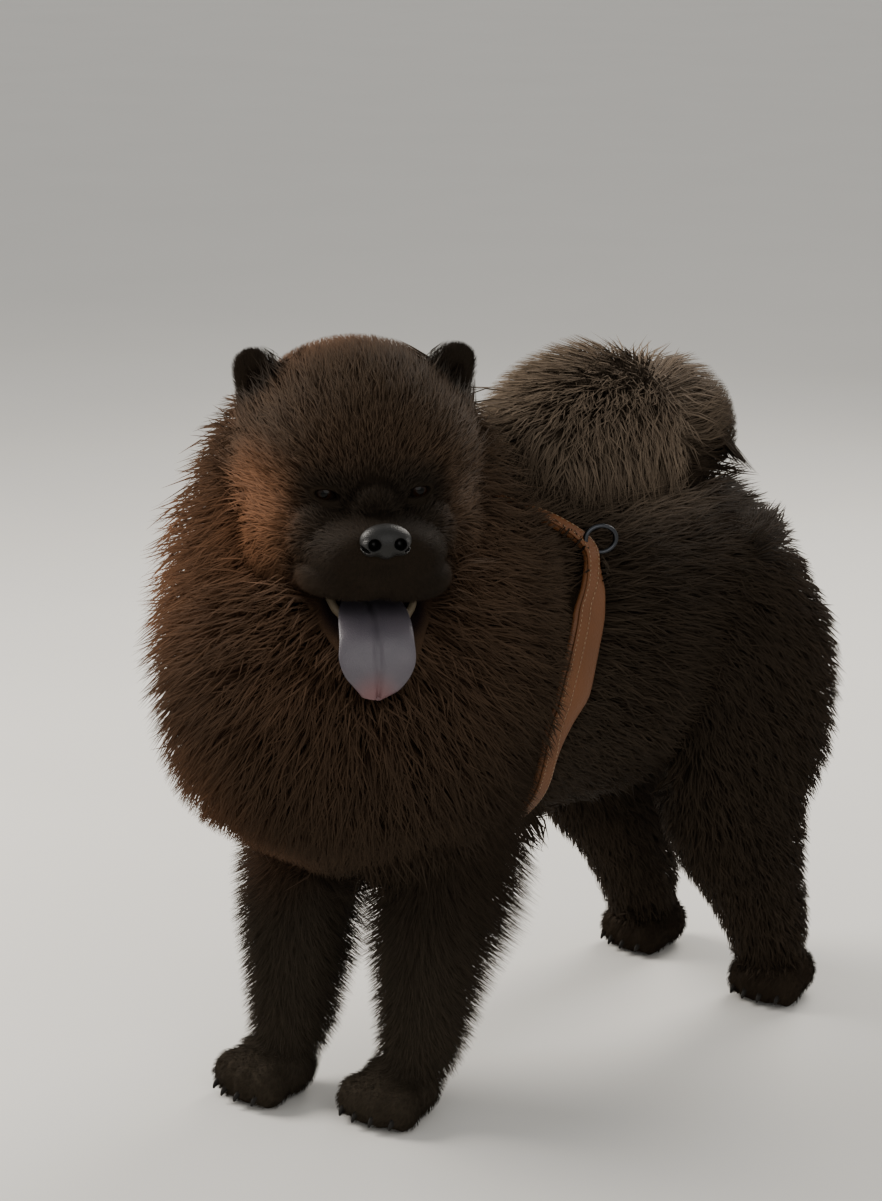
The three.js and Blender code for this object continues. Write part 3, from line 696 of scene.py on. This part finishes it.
# The harness: a padded girth behind the elbows, bowed back at its top, and a strap over it.
# Angle in degrees from the left side up, radius, then y and half width of the girth, and y of the strap
STRAPS = np.array([
    (-90, 136, -140, 9, -140), (-60, 139, -130, 9, -130), (-38, 138, -118, 9, -118),
    (-20, 134, -117, 11, -119), (-11, 132, -111, 16, -118), (-3, 132, -99, 20, -111),
    (11, 132, -86, 20, -96), (28, 137, -67, 18, -75), (37, 140, -54, 11, -56),
    (47, 143, -45, 6, -45), (57, 146, -60, 6, -60), (70, 147, -88, 6, -88), (90, 145, -110, 8, -110),
], float)
STRAP_WIDE = 7.0


HOOP = 3  # radius of the plain hoop that a band is shaped from


def hoop(bm, segments, radius, middle, steps):
    """A round ring, spun from a circle that stands `middle` from the axis."""
    verts = bmesh.ops.create_circle(bm, segments=segments, radius=radius)["verts"]
    upright = Matrix.Rotation(math.pi / 2, 3, "X")
    bmesh.ops.rotate(bm, cent=(0, 0, 0), matrix=upright, verts=verts)
    bmesh.ops.translate(bm, vec=(middle, 0, 0), verts=verts)
    geom = bm.edges[:] + bm.verts[:]
    bmesh.ops.spin(bm, geom=geom, cent=(0, 0, 0), axis=(0, 0, 1), angle=2 * math.pi, steps=steps, use_merge=True)


class Band:
    """A strap round the chest, from the stations of its left half."""

    def __init__(self, stations, lift=0.0, thick=5.0):
        mirrored = [(180 - a, *rest) for a, *rest in stations[-2:0:-1]]
        ring = np.array([*stations, *mirrored], float)
        around = np.radians(np.append(ring[:, 0], 270))
        self.ring = np.vstack([ring, ring[:1]])[:, 1:]
        self.around = around
        self.lift, self.thick = lift, thick

    def values(self, angle):
        """y, half width and radius at an angle round the chest."""
        angle = (np.asarray(angle, float) + math.pi / 2) % (2 * math.pi) - math.pi / 2
        count = len(self.ring) - 1
        u = np.interp(angle, self.around, np.arange(count + 1)) / count
        wrapped = np.vstack([self.ring[-2:-1], self.ring, self.ring[1:2]])
        padded = (u * count + 1) / (count + 2)
        got = spline(wrapped, padded)
        return got[:, 0], got[:, 1], got[:, 2] + self.lift

    def point(self, angle, away, out):
        y, half, radius = self.values(angle)
        reach = radius + out
        return np.stack([CHEST[0] + np.cos(angle) * reach, y + away, CHEST[1] + np.sin(angle) * reach], 1)

    def add_to(self, bm, steps=160, puff=0.0):
        hoop(bm, 16, 1, HOOP, steps)
        loop = np.array([v.co for v in bm.verts])
        angle = np.arctan2(loop[:, 1], loop[:, 0])
        section = np.arctan2(loop[:, 2], np.hypot(loop[:, 0], loop[:, 1]) - HOOP)
        y, half, radius = self.values(angle)
        cos, sin = np.cos(section), np.sin(section)
        away = half * np.sign(sin) * np.abs(sin) ** 0.55
        rise = np.sign(cos) * np.abs(cos) ** 0.45
        crown = puff * np.maximum(0, 1 - (away / half) ** 2) * (rise > 0)
        out = self.thick / 2 + rise * self.thick / 2 + crown
        for vert, point in zip(bm.verts, self.point(angle, away, out)):
            vert.co = point


girth = Band(STRAPS[:, [0, 2, 3, 1]], 0.0, 5.0)
strap = STRAPS[:, [0, 4, 3, 1]].copy()
strap[:, 2] = STRAP_WIDE
trim = Band(strap, 5.35, 3.0)


# The coat
def radial(points):
    x, z = points[..., 0] - CHEST[0], points[..., 2] - CHEST[1]
    return np.arctan2(z, x), np.hypot(x, z)


def harness_span(points):
    """Front and back edge and radius of the harness at each point's angle, and the point's own radius."""
    angle, reach = radial(points)
    y, half, radius = girth.values(angle)
    strap_y = trim.values(angle)[0]
    low = np.minimum(y - half, strap_y - STRAP_WIDE)
    return low, np.maximum(y + half, strap_y + STRAP_WIDE), radius, reach


class Region:
    """How one part's coat grows: tufts on a square centimetre, their width and run in millimetres."""

    def __init__(self, name, forms, lie, density, width, run, least=1.5, most=30, clump=0.45, short=False):
        self.name, self.forms, self.lie, self.density = name, forms, lie, density
        self.width, self.run, self.least, self.most = width, run, least, most
        self.clump, self.short = clump, short


def mane_lie(p, n):
    away = p - HEAD_CENTRE
    away = unit(away - FACING * (away @ FACING)[:, None])
    return away * 0.6 - FACING * 0.3 + np.array([0, 0, -0.9])


def torso_lie(p, n):
    way = np.zeros_like(p)
    way[:, 1] = 1
    way[:, 2] = -0.45 - np.maximum(0, p[:, 1] - 110) / 50
    return way


def tail_lie(p, n):
    rear = p[:, 1] > 110
    hang = np.maximum(0, n[:, 2]) * 0.9 - 0.9
    return np.stack([n[:, 0] * 0.7, np.where(rear, 0.5, -0.45), np.where(rear, 0.15, hang)], axis=1)


def leg_lie(back, outer):
    def lie(p, n):
        return np.tile([outer, back, -1.0], (len(p), 1))
    return lie


def paw_lie(p, n):
    return np.tile([0, -1.0, -0.5], (len(p), 1))


def face_lie(p, n):
    local = to_head(p)
    away = unit(local - (0, -150, -34))
    away[:, 2] += np.where(local[:, 2] < -30, -0.5, 0.15)
    return away @ HEAD_AXES


def skull_lie(p, n):
    local = to_head(p)
    away = unit(local - (0, -120, -30))
    away[:, 2] += 0.35
    return away @ HEAD_AXES


def ear_lie(p, n):
    local = to_head(p)
    way = np.stack([np.sign(local[:, 0]) * 0.35, np.full(len(p), -0.1), np.full(len(p), 1.0)], 1)
    return way @ HEAD_AXES


def jaw_lie(p, n):
    local = to_head(p)
    way = np.stack([local[:, 0] * 0.01, np.full(len(p), 0.8), np.full(len(p), -0.7)], 1)
    return way @ HEAD_AXES


class Blob:
    """A rounded part that owns the hide round it."""

    def __init__(self, centre, radius, on_head=True):
        self.centre = from_head([centre]) if on_head else np.array([centre], float)
        self.radius = np.array([float(radius)])

    def axis(self):
        return self.centre, self.radius


REGIONS = [
    Region("torso", [TORSO], torso_lie, 9, 0.9, 40, most=46, clump=0.3),
    Region("mane", [MANE], mane_lie, 13, 0.8, 46, most=66, clump=0.32),
    Region("tail", [TAIL], tail_lie, 20, 0.75, 60, most=50, clump=0.35),
    Region("front_legs", [LEGS["leg_front_left"], LEGS["leg_front_right"]], leg_lie(0.4, 0.0),
           17, 0.66, 20, least=7, most=46, clump=0.25, short=True),
    Region("hind_legs", [LEGS["leg_hind_left"], LEGS["leg_hind_right"]], leg_lie(0.4, 0.0),
           11, 0.75, 26, least=7, most=40, clump=0.28),
    Region("paws", [Blob((x, y, 24), 36, False) for (x, y), _, _ in PAWS.values()], paw_lie,
           28, 0.55, 9, least=3.5, short=True),
    Region("skull", [SKULL], skull_lie, 24, 0.55, 16, least=4.0, most=40, clump=0.3),
    Region("cheeks", [Blob((s * 50, -20, -34), 46) for s in SIDES], face_lie,
           22, 0.6, 22, least=6.0, most=56, clump=0.3),
    Region("face", [MUZZLE, *LIPS, Blob((0, -86, 0), 23),
                    *[Blob(EYE_PLACE * (s, 1, 1) + (0, 4, 0), 18) for s in SIDES]],
           face_lie, 62, 0.38, 6.0, least=1.6, most=6, clump=0.2, short=True),
    Region("ears", EARS, ear_lie, 44, 0.45, 8, least=2.5, most=8, clump=0.2, short=True),
    Region("chin", [JAW], jaw_lie, 44, 0.45, 6, least=1.4, most=6, clump=0.2, short=True),
]


def nearness(points):
    """How near each point lies to each region's own form, 1 on its surface."""
    rows = []
    for region in REGIONS:
        best = np.full(len(points), 1e9)
        for form in region.forms:
            for centre, radius in zip(*form.axis()):
                best = np.minimum(best, np.linalg.norm(points - centre, axis=1) / radius)
        rows.append(best)
    return np.array(rows).T


def inside_ball(local, centre, radii, turn=(0, 0, 0), grow=0.0):
    rotation = np.array(Euler([math.radians(t) for t in turn]).to_matrix())
    scaled = ((local - centre) @ rotation) / (np.array(radii) + grow)
    return (scaled**2).sum(axis=1) < 1


def bare(points, normals):
    """Places without hair: the opening of the lids, nose, mouth, tongue, soles, and under the harness."""
    local = to_head(points)
    out = inside_ball(local, *MOUTH, grow=2.5)
    out |= inside_ball(local, (0, -88, -92), (36, 46, 16), (20, 0, 0))
    out |= inside_ball(local, (0, -142, -27), (21, 14, 15))
    for s in SIDES:
        out |= inside_ball(local, *fissure(s), grow=1.2)
    for spot in TONGUE.axis(24)[0]:
        out |= np.linalg.norm(points - spot, axis=1) < 14
    out |= (points[:, 2] < 4) & (normals[:, 2] < -0.3)
    low, top, radius, reach = harness_span(points)
    under = (points[:, 1] > low + 2) & (points[:, 1] < top - 2)
    out |= under & (reach < radius + 4) & (reach > radius - 70) & (points[:, 2] > 190)
    return out


rng = np.random.default_rng(20)
corner = hide_points[triangles]
area = np.linalg.norm(np.cross(corner[:, 1] - corner[:, 0], corner[:, 2] - corner[:, 0]), axis=1) / 2
middle = corner.mean(axis=1)
close = nearness(middle)
owner = close.argmin(axis=1)
density = np.array([r.density for r in REGIONS])[owner] / 100
SHORT_TUFT, LONG_TUFT = 4, 10  # triangles in a tuft
COAT_TRIANGLES = 1.42e6
tall = np.where([r.short for r in REGIONS], SHORT_TUFT, LONG_TUFT)[owner]
wanted = area * density
wanted *= COAT_TRIANGLES * 1.0 / (wanted * tall).sum()
count = np.floor(wanted + rng.random(len(wanted))).astype(int)
pick = np.repeat(np.arange(len(count)), count)
a, b = rng.random((2, len(pick)))
flip = a + b > 1
a[flip], b[flip] = 1 - a[flip], 1 - b[flip]
share = np.stack([1 - a - b, a, b], axis=1)
root = (corner[pick] * share[:, :, None]).sum(axis=1)
out = unit((hide_normals[triangles[pick]] * share[:, :, None]).sum(axis=1))
root_uv = (triangle_uvs[pick] * share[:, :, None]).sum(axis=1)
keep = ~bare(root, out)
root, out, root_uv, pick = root[keep], out[keep], root_uv[keep], pick[keep]
close = nearness(root)
owner = close.argmin(axis=1)
weight = np.exp(-(close - close.min(axis=1, keepdims=True)) / 0.2)
weight /= weight.sum(axis=1, keepdims=True)


def field(values):
    return weight @ np.array(values, float)


lie = sum(weight[:, i : i + 1] * unit(region.lie(root, out)) for i, region in enumerate(REGIONS))
lie = unit(lie - out * (lie * out).sum(axis=1, keepdims=True))
run = field([r.run for r in REGIONS])
width = field([r.width for r in REGIONS])
least = field([r.least for r in REGIONS])
clump = field([r.clump for r in REGIONS])

depth = np.empty(len(root))
for i, (p, n) in enumerate(zip(root, out)):
    hit, _, _, far = HULL.ray_cast(Vector(p), Vector(n), 90)
    depth[i] = far if hit is not None else 6.0
depth = np.clip(depth, least, field([r.most for r in REGIONS]))

# The hair of the head lengthens from the eyes out to the ruff
head_root = to_head(root)
spread = np.linalg.norm(head_root - (0, -84, -14), axis=1)
gain = np.clip((spread - 58) / 48, 0, 1)
gain = 1 + 1.5 * gain * gain * (3 - 2 * gain)
on_head = np.isin(owner, [i for i, r in enumerate(REGIONS) if r.name in ("skull", "cheeks")])
gain = np.where(on_head, gain, 1.0)
depth = np.minimum(depth * np.sqrt(gain), np.maximum(depth, 34))
run = run * gain

number = len(root)
twirl = rng.normal(0, 0.32, number)
cross = np.cross(out, lie)
lie = lie * np.cos(twirl)[:, None] + cross * np.sin(twirl)[:, None]
cross = np.cross(out, lie)
high = depth * (0.5 + 0.62 * rng.beta(2.2, 1.4, number))
far = (run * 0.55 + 0.45 * run * np.minimum(1, depth / 36)) * rng.uniform(0.7, 1.25, number)
tip = root + out * high[:, None] + lie * far[:, None]

# Tufts gather into locks, whose tips they lean to
lock_count = max(10, number // 14)
heads = rng.choice(number, lock_count, replace=False)
tree = KDTree(lock_count)
for i, h in enumerate(heads):
    tree.insert(Vector(root[h]), i)
tree.balance()
member = np.array([tree.find(Vector(p))[1] for p in root])
lead = heads[member]
lean = clump * rng.uniform(0.5, 1.1, number)
pull = tip[lead] - tip
apart = np.linalg.norm(root[lead] - root, axis=1)
lean = lean * (apart < 26)
tip = tip + pull * lean[:, None]

# The mane keeps to the width of the solids
WIDEST = solid_box[1][0] * 1000 - SHIFT[0] + 2.0
EASE = 8.0


def within_width(points):
    over = np.maximum(points[:, 0] - (WIDEST - EASE), 0)
    eased = points.copy()
    eased[:, 0] = np.where(over > 0, WIDEST - EASE * np.exp(-over / EASE), points[:, 0])
    return eased


# No tip passes far beyond the coat's bound
for i in range(number):
    spot, normal, _, gap = HULL.find_nearest(Vector(tip[i]))
    if spot is not None and (Vector(tip[i]) - spot).dot(normal) > 1.5 + 0.05 * high[i]:
        tip[i] = np.array(spot) + np.array(normal) * (1.5 + 0.05 * high[i])

tip = within_width(tip)

# Hair reaches only a little over the edges of the harness
front, back, radius, reach = harness_span(tip)
spare = rng.uniform(-1, 5, number)
beside = (tip[:, 2] > 200) & (reach < radius + 40)
shorter = np.ones(number)
from_front = beside & (root[:, 1] < front) & (tip[:, 1] > front + spare)
shorter = np.where(from_front, (front + spare - root[:, 1]) / (tip[:, 1] - root[:, 1] + 1e-6), shorter)
from_back = beside & (root[:, 1] > back) & (tip[:, 1] < back - spare * 0.5)
shorter = np.where(from_back, (back - spare * 0.5 - root[:, 1]) / (tip[:, 1] - root[:, 1] - 1e-6), shorter)
tip = root + (tip - root) * np.clip(shorter, 0.2, 1)[:, None]

# None crosses the mouth, the tongue, the lids or the harness
names = np.array([r.name for r in REGIONS])[owner]
local = to_head(tip)
longer_hair = ~np.isin(names, ("face", "chin"))
kept = np.ones(number, bool)
for spots in (local, to_head(root + (tip - root) * 0.5)):
    kept &= ~(inside_ball(spots, *MUZZLE_ROOM, grow=-2) & longer_hair)
for spots in (tip, root + (tip - root) * 0.6):
    low, top, radius, reach = harness_span(spots)
    crossing = (spots[:, 1] > low + 5.5) & (spots[:, 1] < top - 1) & (reach < radius + 14)
    kept &= ~(crossing & (reach > radius - 60) & (spots[:, 2] > 190))
for spot in TONGUE.axis(24)[0]:
    kept &= np.linalg.norm(tip - spot, axis=1) > 25
for s in SIDES:
    kept &= ~inside_ball(local, *fissure(s), grow=1.5)

way = tip - root
long = np.linalg.norm(way, axis=1)
bend = rng.normal(0, 0.06, number) * long
short = np.array([r.short for r in REGIONS])[owner]
rings = []
for along, up in ((-0.03, -1.0), (0.52, 0.0)):
    arch = math.sin(math.pi * max(along, 0))
    spot = root + way * along + out * (high * 0.22 * arch + up)[:, None]
    rings.append(spot + cross * (bend * arch)[:, None])
rings.append(tip)


def over_straps(points):
    """Hair that would run through the harness lies over it."""
    low, top, radius, reach = harness_span(points)
    outer = radius + 9.5
    blocked = (points[:, 1] > low - 1) & (points[:, 1] < top + 1) & (reach < outer) & (reach > radius - 25)
    blocked &= points[:, 2] > 200
    scale = np.where(blocked, outer / reach, 1)
    moved = points.copy()
    moved[:, 0] = CHEST[0] + (points[:, 0] - CHEST[0]) * scale
    moved[:, 2] = CHEST[1] + (points[:, 2] - CHEST[1]) * scale
    return moved


rings[1:] = [within_width(over_straps(r)) for r in rings[1:]]
FLAT = 0.45
SOFT = 0.6  # how much a tuft is shaded as the body under it is
roll = rng.normal(0, 0.5, number)
sections, shading = [], []
for i, size in enumerate((0.75, 1.0)):
    forward = unit(rings[i + 1] - rings[i])
    across = unit(cross - forward * (cross * forward).sum(axis=1, keepdims=True))
    above = np.cross(forward, across)
    across = across * np.cos(roll)[:, None] + above * np.sin(roll)[:, None]
    above = np.cross(forward, across)
    half = (width * size * np.where(short, 1.1, 1.0))[:, None]
    sections.append(np.stack([
        rings[i] + across * half, rings[i] + above * half * FLAT, rings[i] - across * half,
    ], axis=1))
    shading.append(np.stack([across, above, -across], axis=1) * (1 - SOFT) + out[:, None] * SOFT)
for part in (*sections, tip):
    part[..., 2] = np.maximum(part[..., 2], SOLE - 0.1)
tip_shading = (unit(way) * (1 - SOFT) + out * SOFT)[:, None]
tint = rng.random(number)


def tuft_faces(levels):
    faces = [(0, 2, 1)]
    for level in range(levels - 1):
        for i in range(3):
            j = (i + 1) % 3
            low, top = level * 3, level * 3 + 3
            faces += [(low + i, low + j, top + j), (low + i, top + j, top + i)]
    last = (levels - 1) * 3
    faces += [(last + i, last + (i + 1) % 3, levels * 3) for i in range(3)]
    return np.array(faces)


PATCH = 0.003


def coat_piece(name, members, levels, material):
    body = np.concatenate([part[members] for part in sections[:levels]] + [tip[members][:, None]], axis=1)
    facing = np.concatenate([part[members] for part in shading[:levels]] + [tip_shading[members]], axis=1)
    per = body.shape[1]
    points = body.reshape(-1, 3)
    faces = tuft_faces(levels)
    index = (np.arange(len(members))[:, None, None] * per + faces[None]).reshape(-1, 3)
    mesh = bpy.data.meshes.new(name)
    mesh.vertices.add(len(points))
    mesh.vertices.foreach_set("co", ((points + SHIFT) * 0.001).astype(np.float32).ravel())
    mesh.loops.add(index.size)
    mesh.loops.foreach_set("vertex_index", index.ravel().astype(np.int32))
    mesh.polygons.add(len(index))
    mesh.polygons.foreach_set("loop_start", np.arange(0, index.size, 3, dtype=np.int32))
    mesh.update(calc_edges=True)
    mesh.shade_smooth()
    mesh.normals_split_custom_set_from_vertices(unit(facing.reshape(-1, 3)).tolist())
    steps = {2: (0, 0.52, 1), 1: (0, 1)}[levels]
    along = np.repeat(steps, [3] * levels + [1])
    across = np.array([1, 0.5, 0] * levels + [0.5])
    tones = {"along": np.tile(along, len(members)), "tint": np.repeat(tint[members], per)}
    for key, values in tones.items():
        mesh.attributes.new(key, "FLOAT", "POINT").data.foreach_set("value", values.astype(np.float32))
    strand = np.stack([
        np.tile(across * 5, len(members)), np.tile(along * 1.2, len(members)),
        np.repeat(tint[members] * 400, per),
    ], axis=1).astype(np.float32)
    mesh.attributes.new("strand", "FLOAT_VECTOR", "POINT").data.foreach_set("vector", strand.ravel())
    patch = np.stack([across - 0.5, along - 0.5], axis=1) * PATCH
    uv = (root_uv[members][:, None] + patch[None]).reshape(-1, 2)[index.ravel()]
    mesh.uv_layers.new(name="OFBake").uv.foreach_set("vector", uv.astype(np.float32).ravel())
    made = bpy.data.objects.new(name, mesh)
    bpy.context.collection.objects.link(made)
    mesh.materials.append(material)
    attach(made, "root")
    return made


coat_looks = fur_material("coat")
LIMIT = 190000  # triangles in one piece of the coat
for i, region in enumerate(REGIONS):
    members = np.flatnonzero((owner == i) & kept)
    levels = 1 if region.short else 2
    most = LIMIT // len(tuft_faces(levels))
    parts = max(1, math.ceil(len(members) / most))
    for n, part in enumerate(np.array_split(members, parts)):
        coat_piece(f"coat_{region.name}_{n + 1}", part, levels, coat_looks)

piece(hide, hide_material(),
      ["head", "neck", "lower_jaw", "ear_left", "ear_right", "torso", "tail", *LEGS, *PAWS])


# Eyes
def eye_material(s):
    material, nodes, links, surface = shader("eye", 0.05, Specular_IOR_Level=0.12)
    facing = from_head([EYE_PLACE * (s, 1, 1) + np.array([s * 0.18, -0.98, 0]) * EYE_RADIUS])[0]
    pupil = near(nodes, links, facing, 2.6, 3.2)
    iris = near(nodes, links, facing, 5.4, 6.4)
    streaks = grain(nodes, links, 700.0, 3.0)
    brown = blended(nodes, links, streaks, (0.005, 0.0026, 0.0014), (0.014, 0.006, 0.003))
    white = (0.008, 0.0055, 0.0045)
    colour = blended(nodes, links, iris, white, brown)
    links.new(blended(nodes, links, pupil, colour, (0.001, 0.001, 0.001)), surface.inputs["Base Color"])
    return material


for s, name in ((1, "left"), (-1, "right")):
    bm = bmesh.new()
    add_ball(bm, EYE_PLACE * (s, 1, 1), [EYE_RADIUS - 0.3] * 3, around=40, rings=28)
    piece(object_from(bm, f"eyeball_{name}"), eye_material(s), [f"eye_{name}"])

# Nose
bm = bmesh.new()
add_ball(bm, (0, -142, -25), (20, 13, 13), around=40, rings=28)
add_ball(bm, (0, -141, -32), (8, 12, 7.5))
for s in SIDES:
    add_ball(bm, (s * 11.5, -143, -28), (8.2, 12, 8.8))
nose = fused(object_from(bm, "nose_leather"), 0.8, 3)
bm = bmesh.new()
for s in SIDES:
    add_ball(bm, (s * 10, -156, -26), (5.2, 11, 5.0), (0, s * 20, 0))
    add_ball(bm, (s * 17, -148, -30), (6, 8, 1.8), (0, s * -25, 0))
add_ball(bm, (0, -157, -34), (0.8, 4, 11))
nose = joined(nose, object_from(bm, "nostrils"), "DIFFERENCE")
nose = fused(nose, 0.7, 3)
# The nostrils, whose pits get painted shade
nostrils = [from_head((s * 10, -149, -26)) for s in SIDES]
nose_looks = plain_material("nose", (0.006, 0.006, 0.0058), (0.013, 0.0125, 0.012),
                            900.0, 0.42, 0.35, "Voronoi", nostrils, Specular_IOR_Level=0.22)
piece(nose, nose_looks, ["nose"])

# Tongue
bm = bmesh.new()
TONGUE.add_to(bm, around=64, rings=80, blunt=0.6)
tongue = object_from(bm, "tongue_flesh")
spots = points_of(tongue.data)
local = to_head(spots)
groove = np.exp(-(((local[:, 0] + 5) / 1.9) ** 2))
lift = normals_of(tongue.data)
face_out = lift @ (FACING + np.array([0, 0, 0.6])) > 0
put(tongue.data, spots - lift * (groove * 3.6 * face_out)[:, None])
material, nodes, links, surface = shader("tongue", 0.42, Specular_IOR_Level=0.4)
blue = blended(nodes, links, grain(nodes, links, 60.0), (0.055, 0.05, 0.062), (0.085, 0.074, 0.086))
pink = near(nodes, links, from_head((-8, -138, -150)), 4, 26)
blue = blended(nodes, links, maths(nodes, links, "MULTIPLY", pink, 0.65), blue, (0.15, 0.06, 0.06))
links.new(blue, surface.inputs["Base Color"])
bump(nodes, links, surface, grain(nodes, links, 1100.0, kind="Voronoi"), 0.5, 0.4)
piece(tongue, material, ["tongue"])


# Teeth
def teeth(name, y, z, wide, deep, slope, down):
    gum = np.array([(n * wide, y + deep * n * n, z + deep * n * n * slope) for n in (-1, -0.8, 0, 0.8, 1)])
    bm = bmesh.new()
    rail = Form([(*p, 4, 3, 3) for p in gum], side=(0, 0, 1), on_head=True)
    rail.add_to(bm, around=12, rings=24, blunt=0.8)
    for i in range(8):
        n = i / 7
        canine = 0.16 < abs(n - 0.5) < 0.3
        long = 6 if canine else 3
        radius = 2.3 if canine else 2.2
        spot = spline(gum, np.array([n]))[0]
        way = -1 if down else 1
        stations = [(*spot, radius, radius, radius)]
        for share, size in ((0.45, 0.8), (0.8, 0.42), (1.0, 0.16)):
            stations.append((spot[0], spot[1] - share, spot[2] + way * long * share, *[radius * size] * 3))
        Form(stations, on_head=True).add_to(bm, around=10, rings=8)
    return object_from(bm, name)


ivory = plain_material("ivory", (0.09, 0.07, 0.045), (0.15, 0.12, 0.08),
                       120.0, 0.4, 0.1, Specular_IOR_Level=0.3)
piece(teeth("teeth_upper", -124, -68, 40, 52, -0.08, True), ivory, ["upper_teeth"])
piece(teeth("teeth_lower", -116, -114, 34, 48, 0.6, False), ivory, ["lower_teeth"])

# Claws
bm = bmesh.new()
for (px, py), (wide, long), turn in PAWS.values():
    spin = np.array(Matrix.Rotation(math.radians(turn), 3, "Z"))
    for n in (-1.5, -0.5, 0.5, 1.5):
        y = -(long - 7 - abs(n) * 5)
        line = [(y, 14, 3, 3.2), (y - 5, 12.5, 2.6, 3), (y - 9, 9.5, 1.8, 2.2), (y - 11, 6, 0.7, 0.8)]
        stations = []
        for forward, height, half_width, half_height in line:
            spot = spin @ np.array([n * wide * 0.47, forward, 0]) + (px, py, height)
            stations.append((*spot, half_width, half_height, half_height))
        Form(stations).add_to(bm, around=12, rings=12)
horn = plain_material("horn", (0.006, 0.0055, 0.005), (0.014, 0.012, 0.01),
                      300.0, 0.6, 0.2, Specular_IOR_Level=0.15)
piece(object_from(bm, "claws"), horn)

# Harness
hide_leather, nodes, links, surface = shader("tan_leather", 0.55, Specular_IOR_Level=0.3)
worn = grain(nodes, links, 22.0, 4.0)
tan = blended(nodes, links, worn, (0.075, 0.026, 0.007), (0.125, 0.045, 0.012))
links.new(tan, surface.inputs["Base Color"])
bump(nodes, links, surface, grain(nodes, links, 420.0, kind="Voronoi"), 0.45, 0.5)
bm = bmesh.new()
girth.add_to(bm, puff=3.0)
piece(object_from(bm, "girth_pad"), hide_leather, ["harness_girth"])
bm = bmesh.new()
trim.add_to(bm)
piece(object_from(bm, "stitched_strap"), hide_leather, ["harness_trim"])

thread = plain_material("thread", (0.2, 0.13, 0.07), (0.27, 0.18, 0.1), 600.0, 0.7, 0.2)
bm = bmesh.new()
STITCH_STEP = 3.6 / 140  # radians from one stitch to the next
for row in (-4.8, 4.8):
    angle = -math.pi / 2
    while angle < 1.5 * math.pi:
        ends = trim.point(np.array([angle, angle + STITCH_STEP * 0.62]), row, trim.thick + 0.1)
        middle_point, way = ends.mean(axis=0), ends[1] - ends[0]
        made = bmesh.ops.create_icosphere(bm, subdivisions=1, radius=1)["verts"]
        fit = Vector(way).to_track_quat("X", "Z").to_matrix().to_4x4()
        stretch = Matrix.Diagonal((np.linalg.norm(way) / 2, 0.42, 0.35, 1))
        bmesh.ops.transform(bm, matrix=Matrix.Translation(middle_point) @ fit @ stretch, verts=made)
        angle += STITCH_STEP
piece(object_from(bm, "stitching"), thread)

bm = bmesh.new()
RING_PLACE = (106, -36, 466)
RING_TURN = 60
hoop(bm, 20, 2.2, 13, 64)
turned = Matrix.Rotation(math.radians(RING_TURN), 4, "Z") @ Matrix.Rotation(math.pi / 2, 4, "X")
fit = Matrix.Translation(RING_PLACE) @ turned @ Matrix.Diagonal((1, 0.85, 1, 1))
bmesh.ops.transform(bm, matrix=fit, verts=bm.verts)
steel = plain_material("steel", (0.03, 0.032, 0.036), (0.05, 0.053, 0.06), 200.0, 0.32, 0.1, Metallic=1.0)
piece(object_from(bm, "lead_ring"), steel, ["harness_ring"])

# Floor
bm = bmesh.new()
bmesh.ops.create_grid(bm, x_segments=1, y_segments=1, size=40)
floor = object_from(bm, "floor")
ground, nodes, links, surface = shader("pale_floor", 0.8)
pale = blended(nodes, links, grain(nodes, links, 3.0), (0.62, 0.61, 0.58), (0.66, 0.65, 0.62))
links.new(pale, surface.inputs["Base Color"])
floor.data.materials.append(ground)
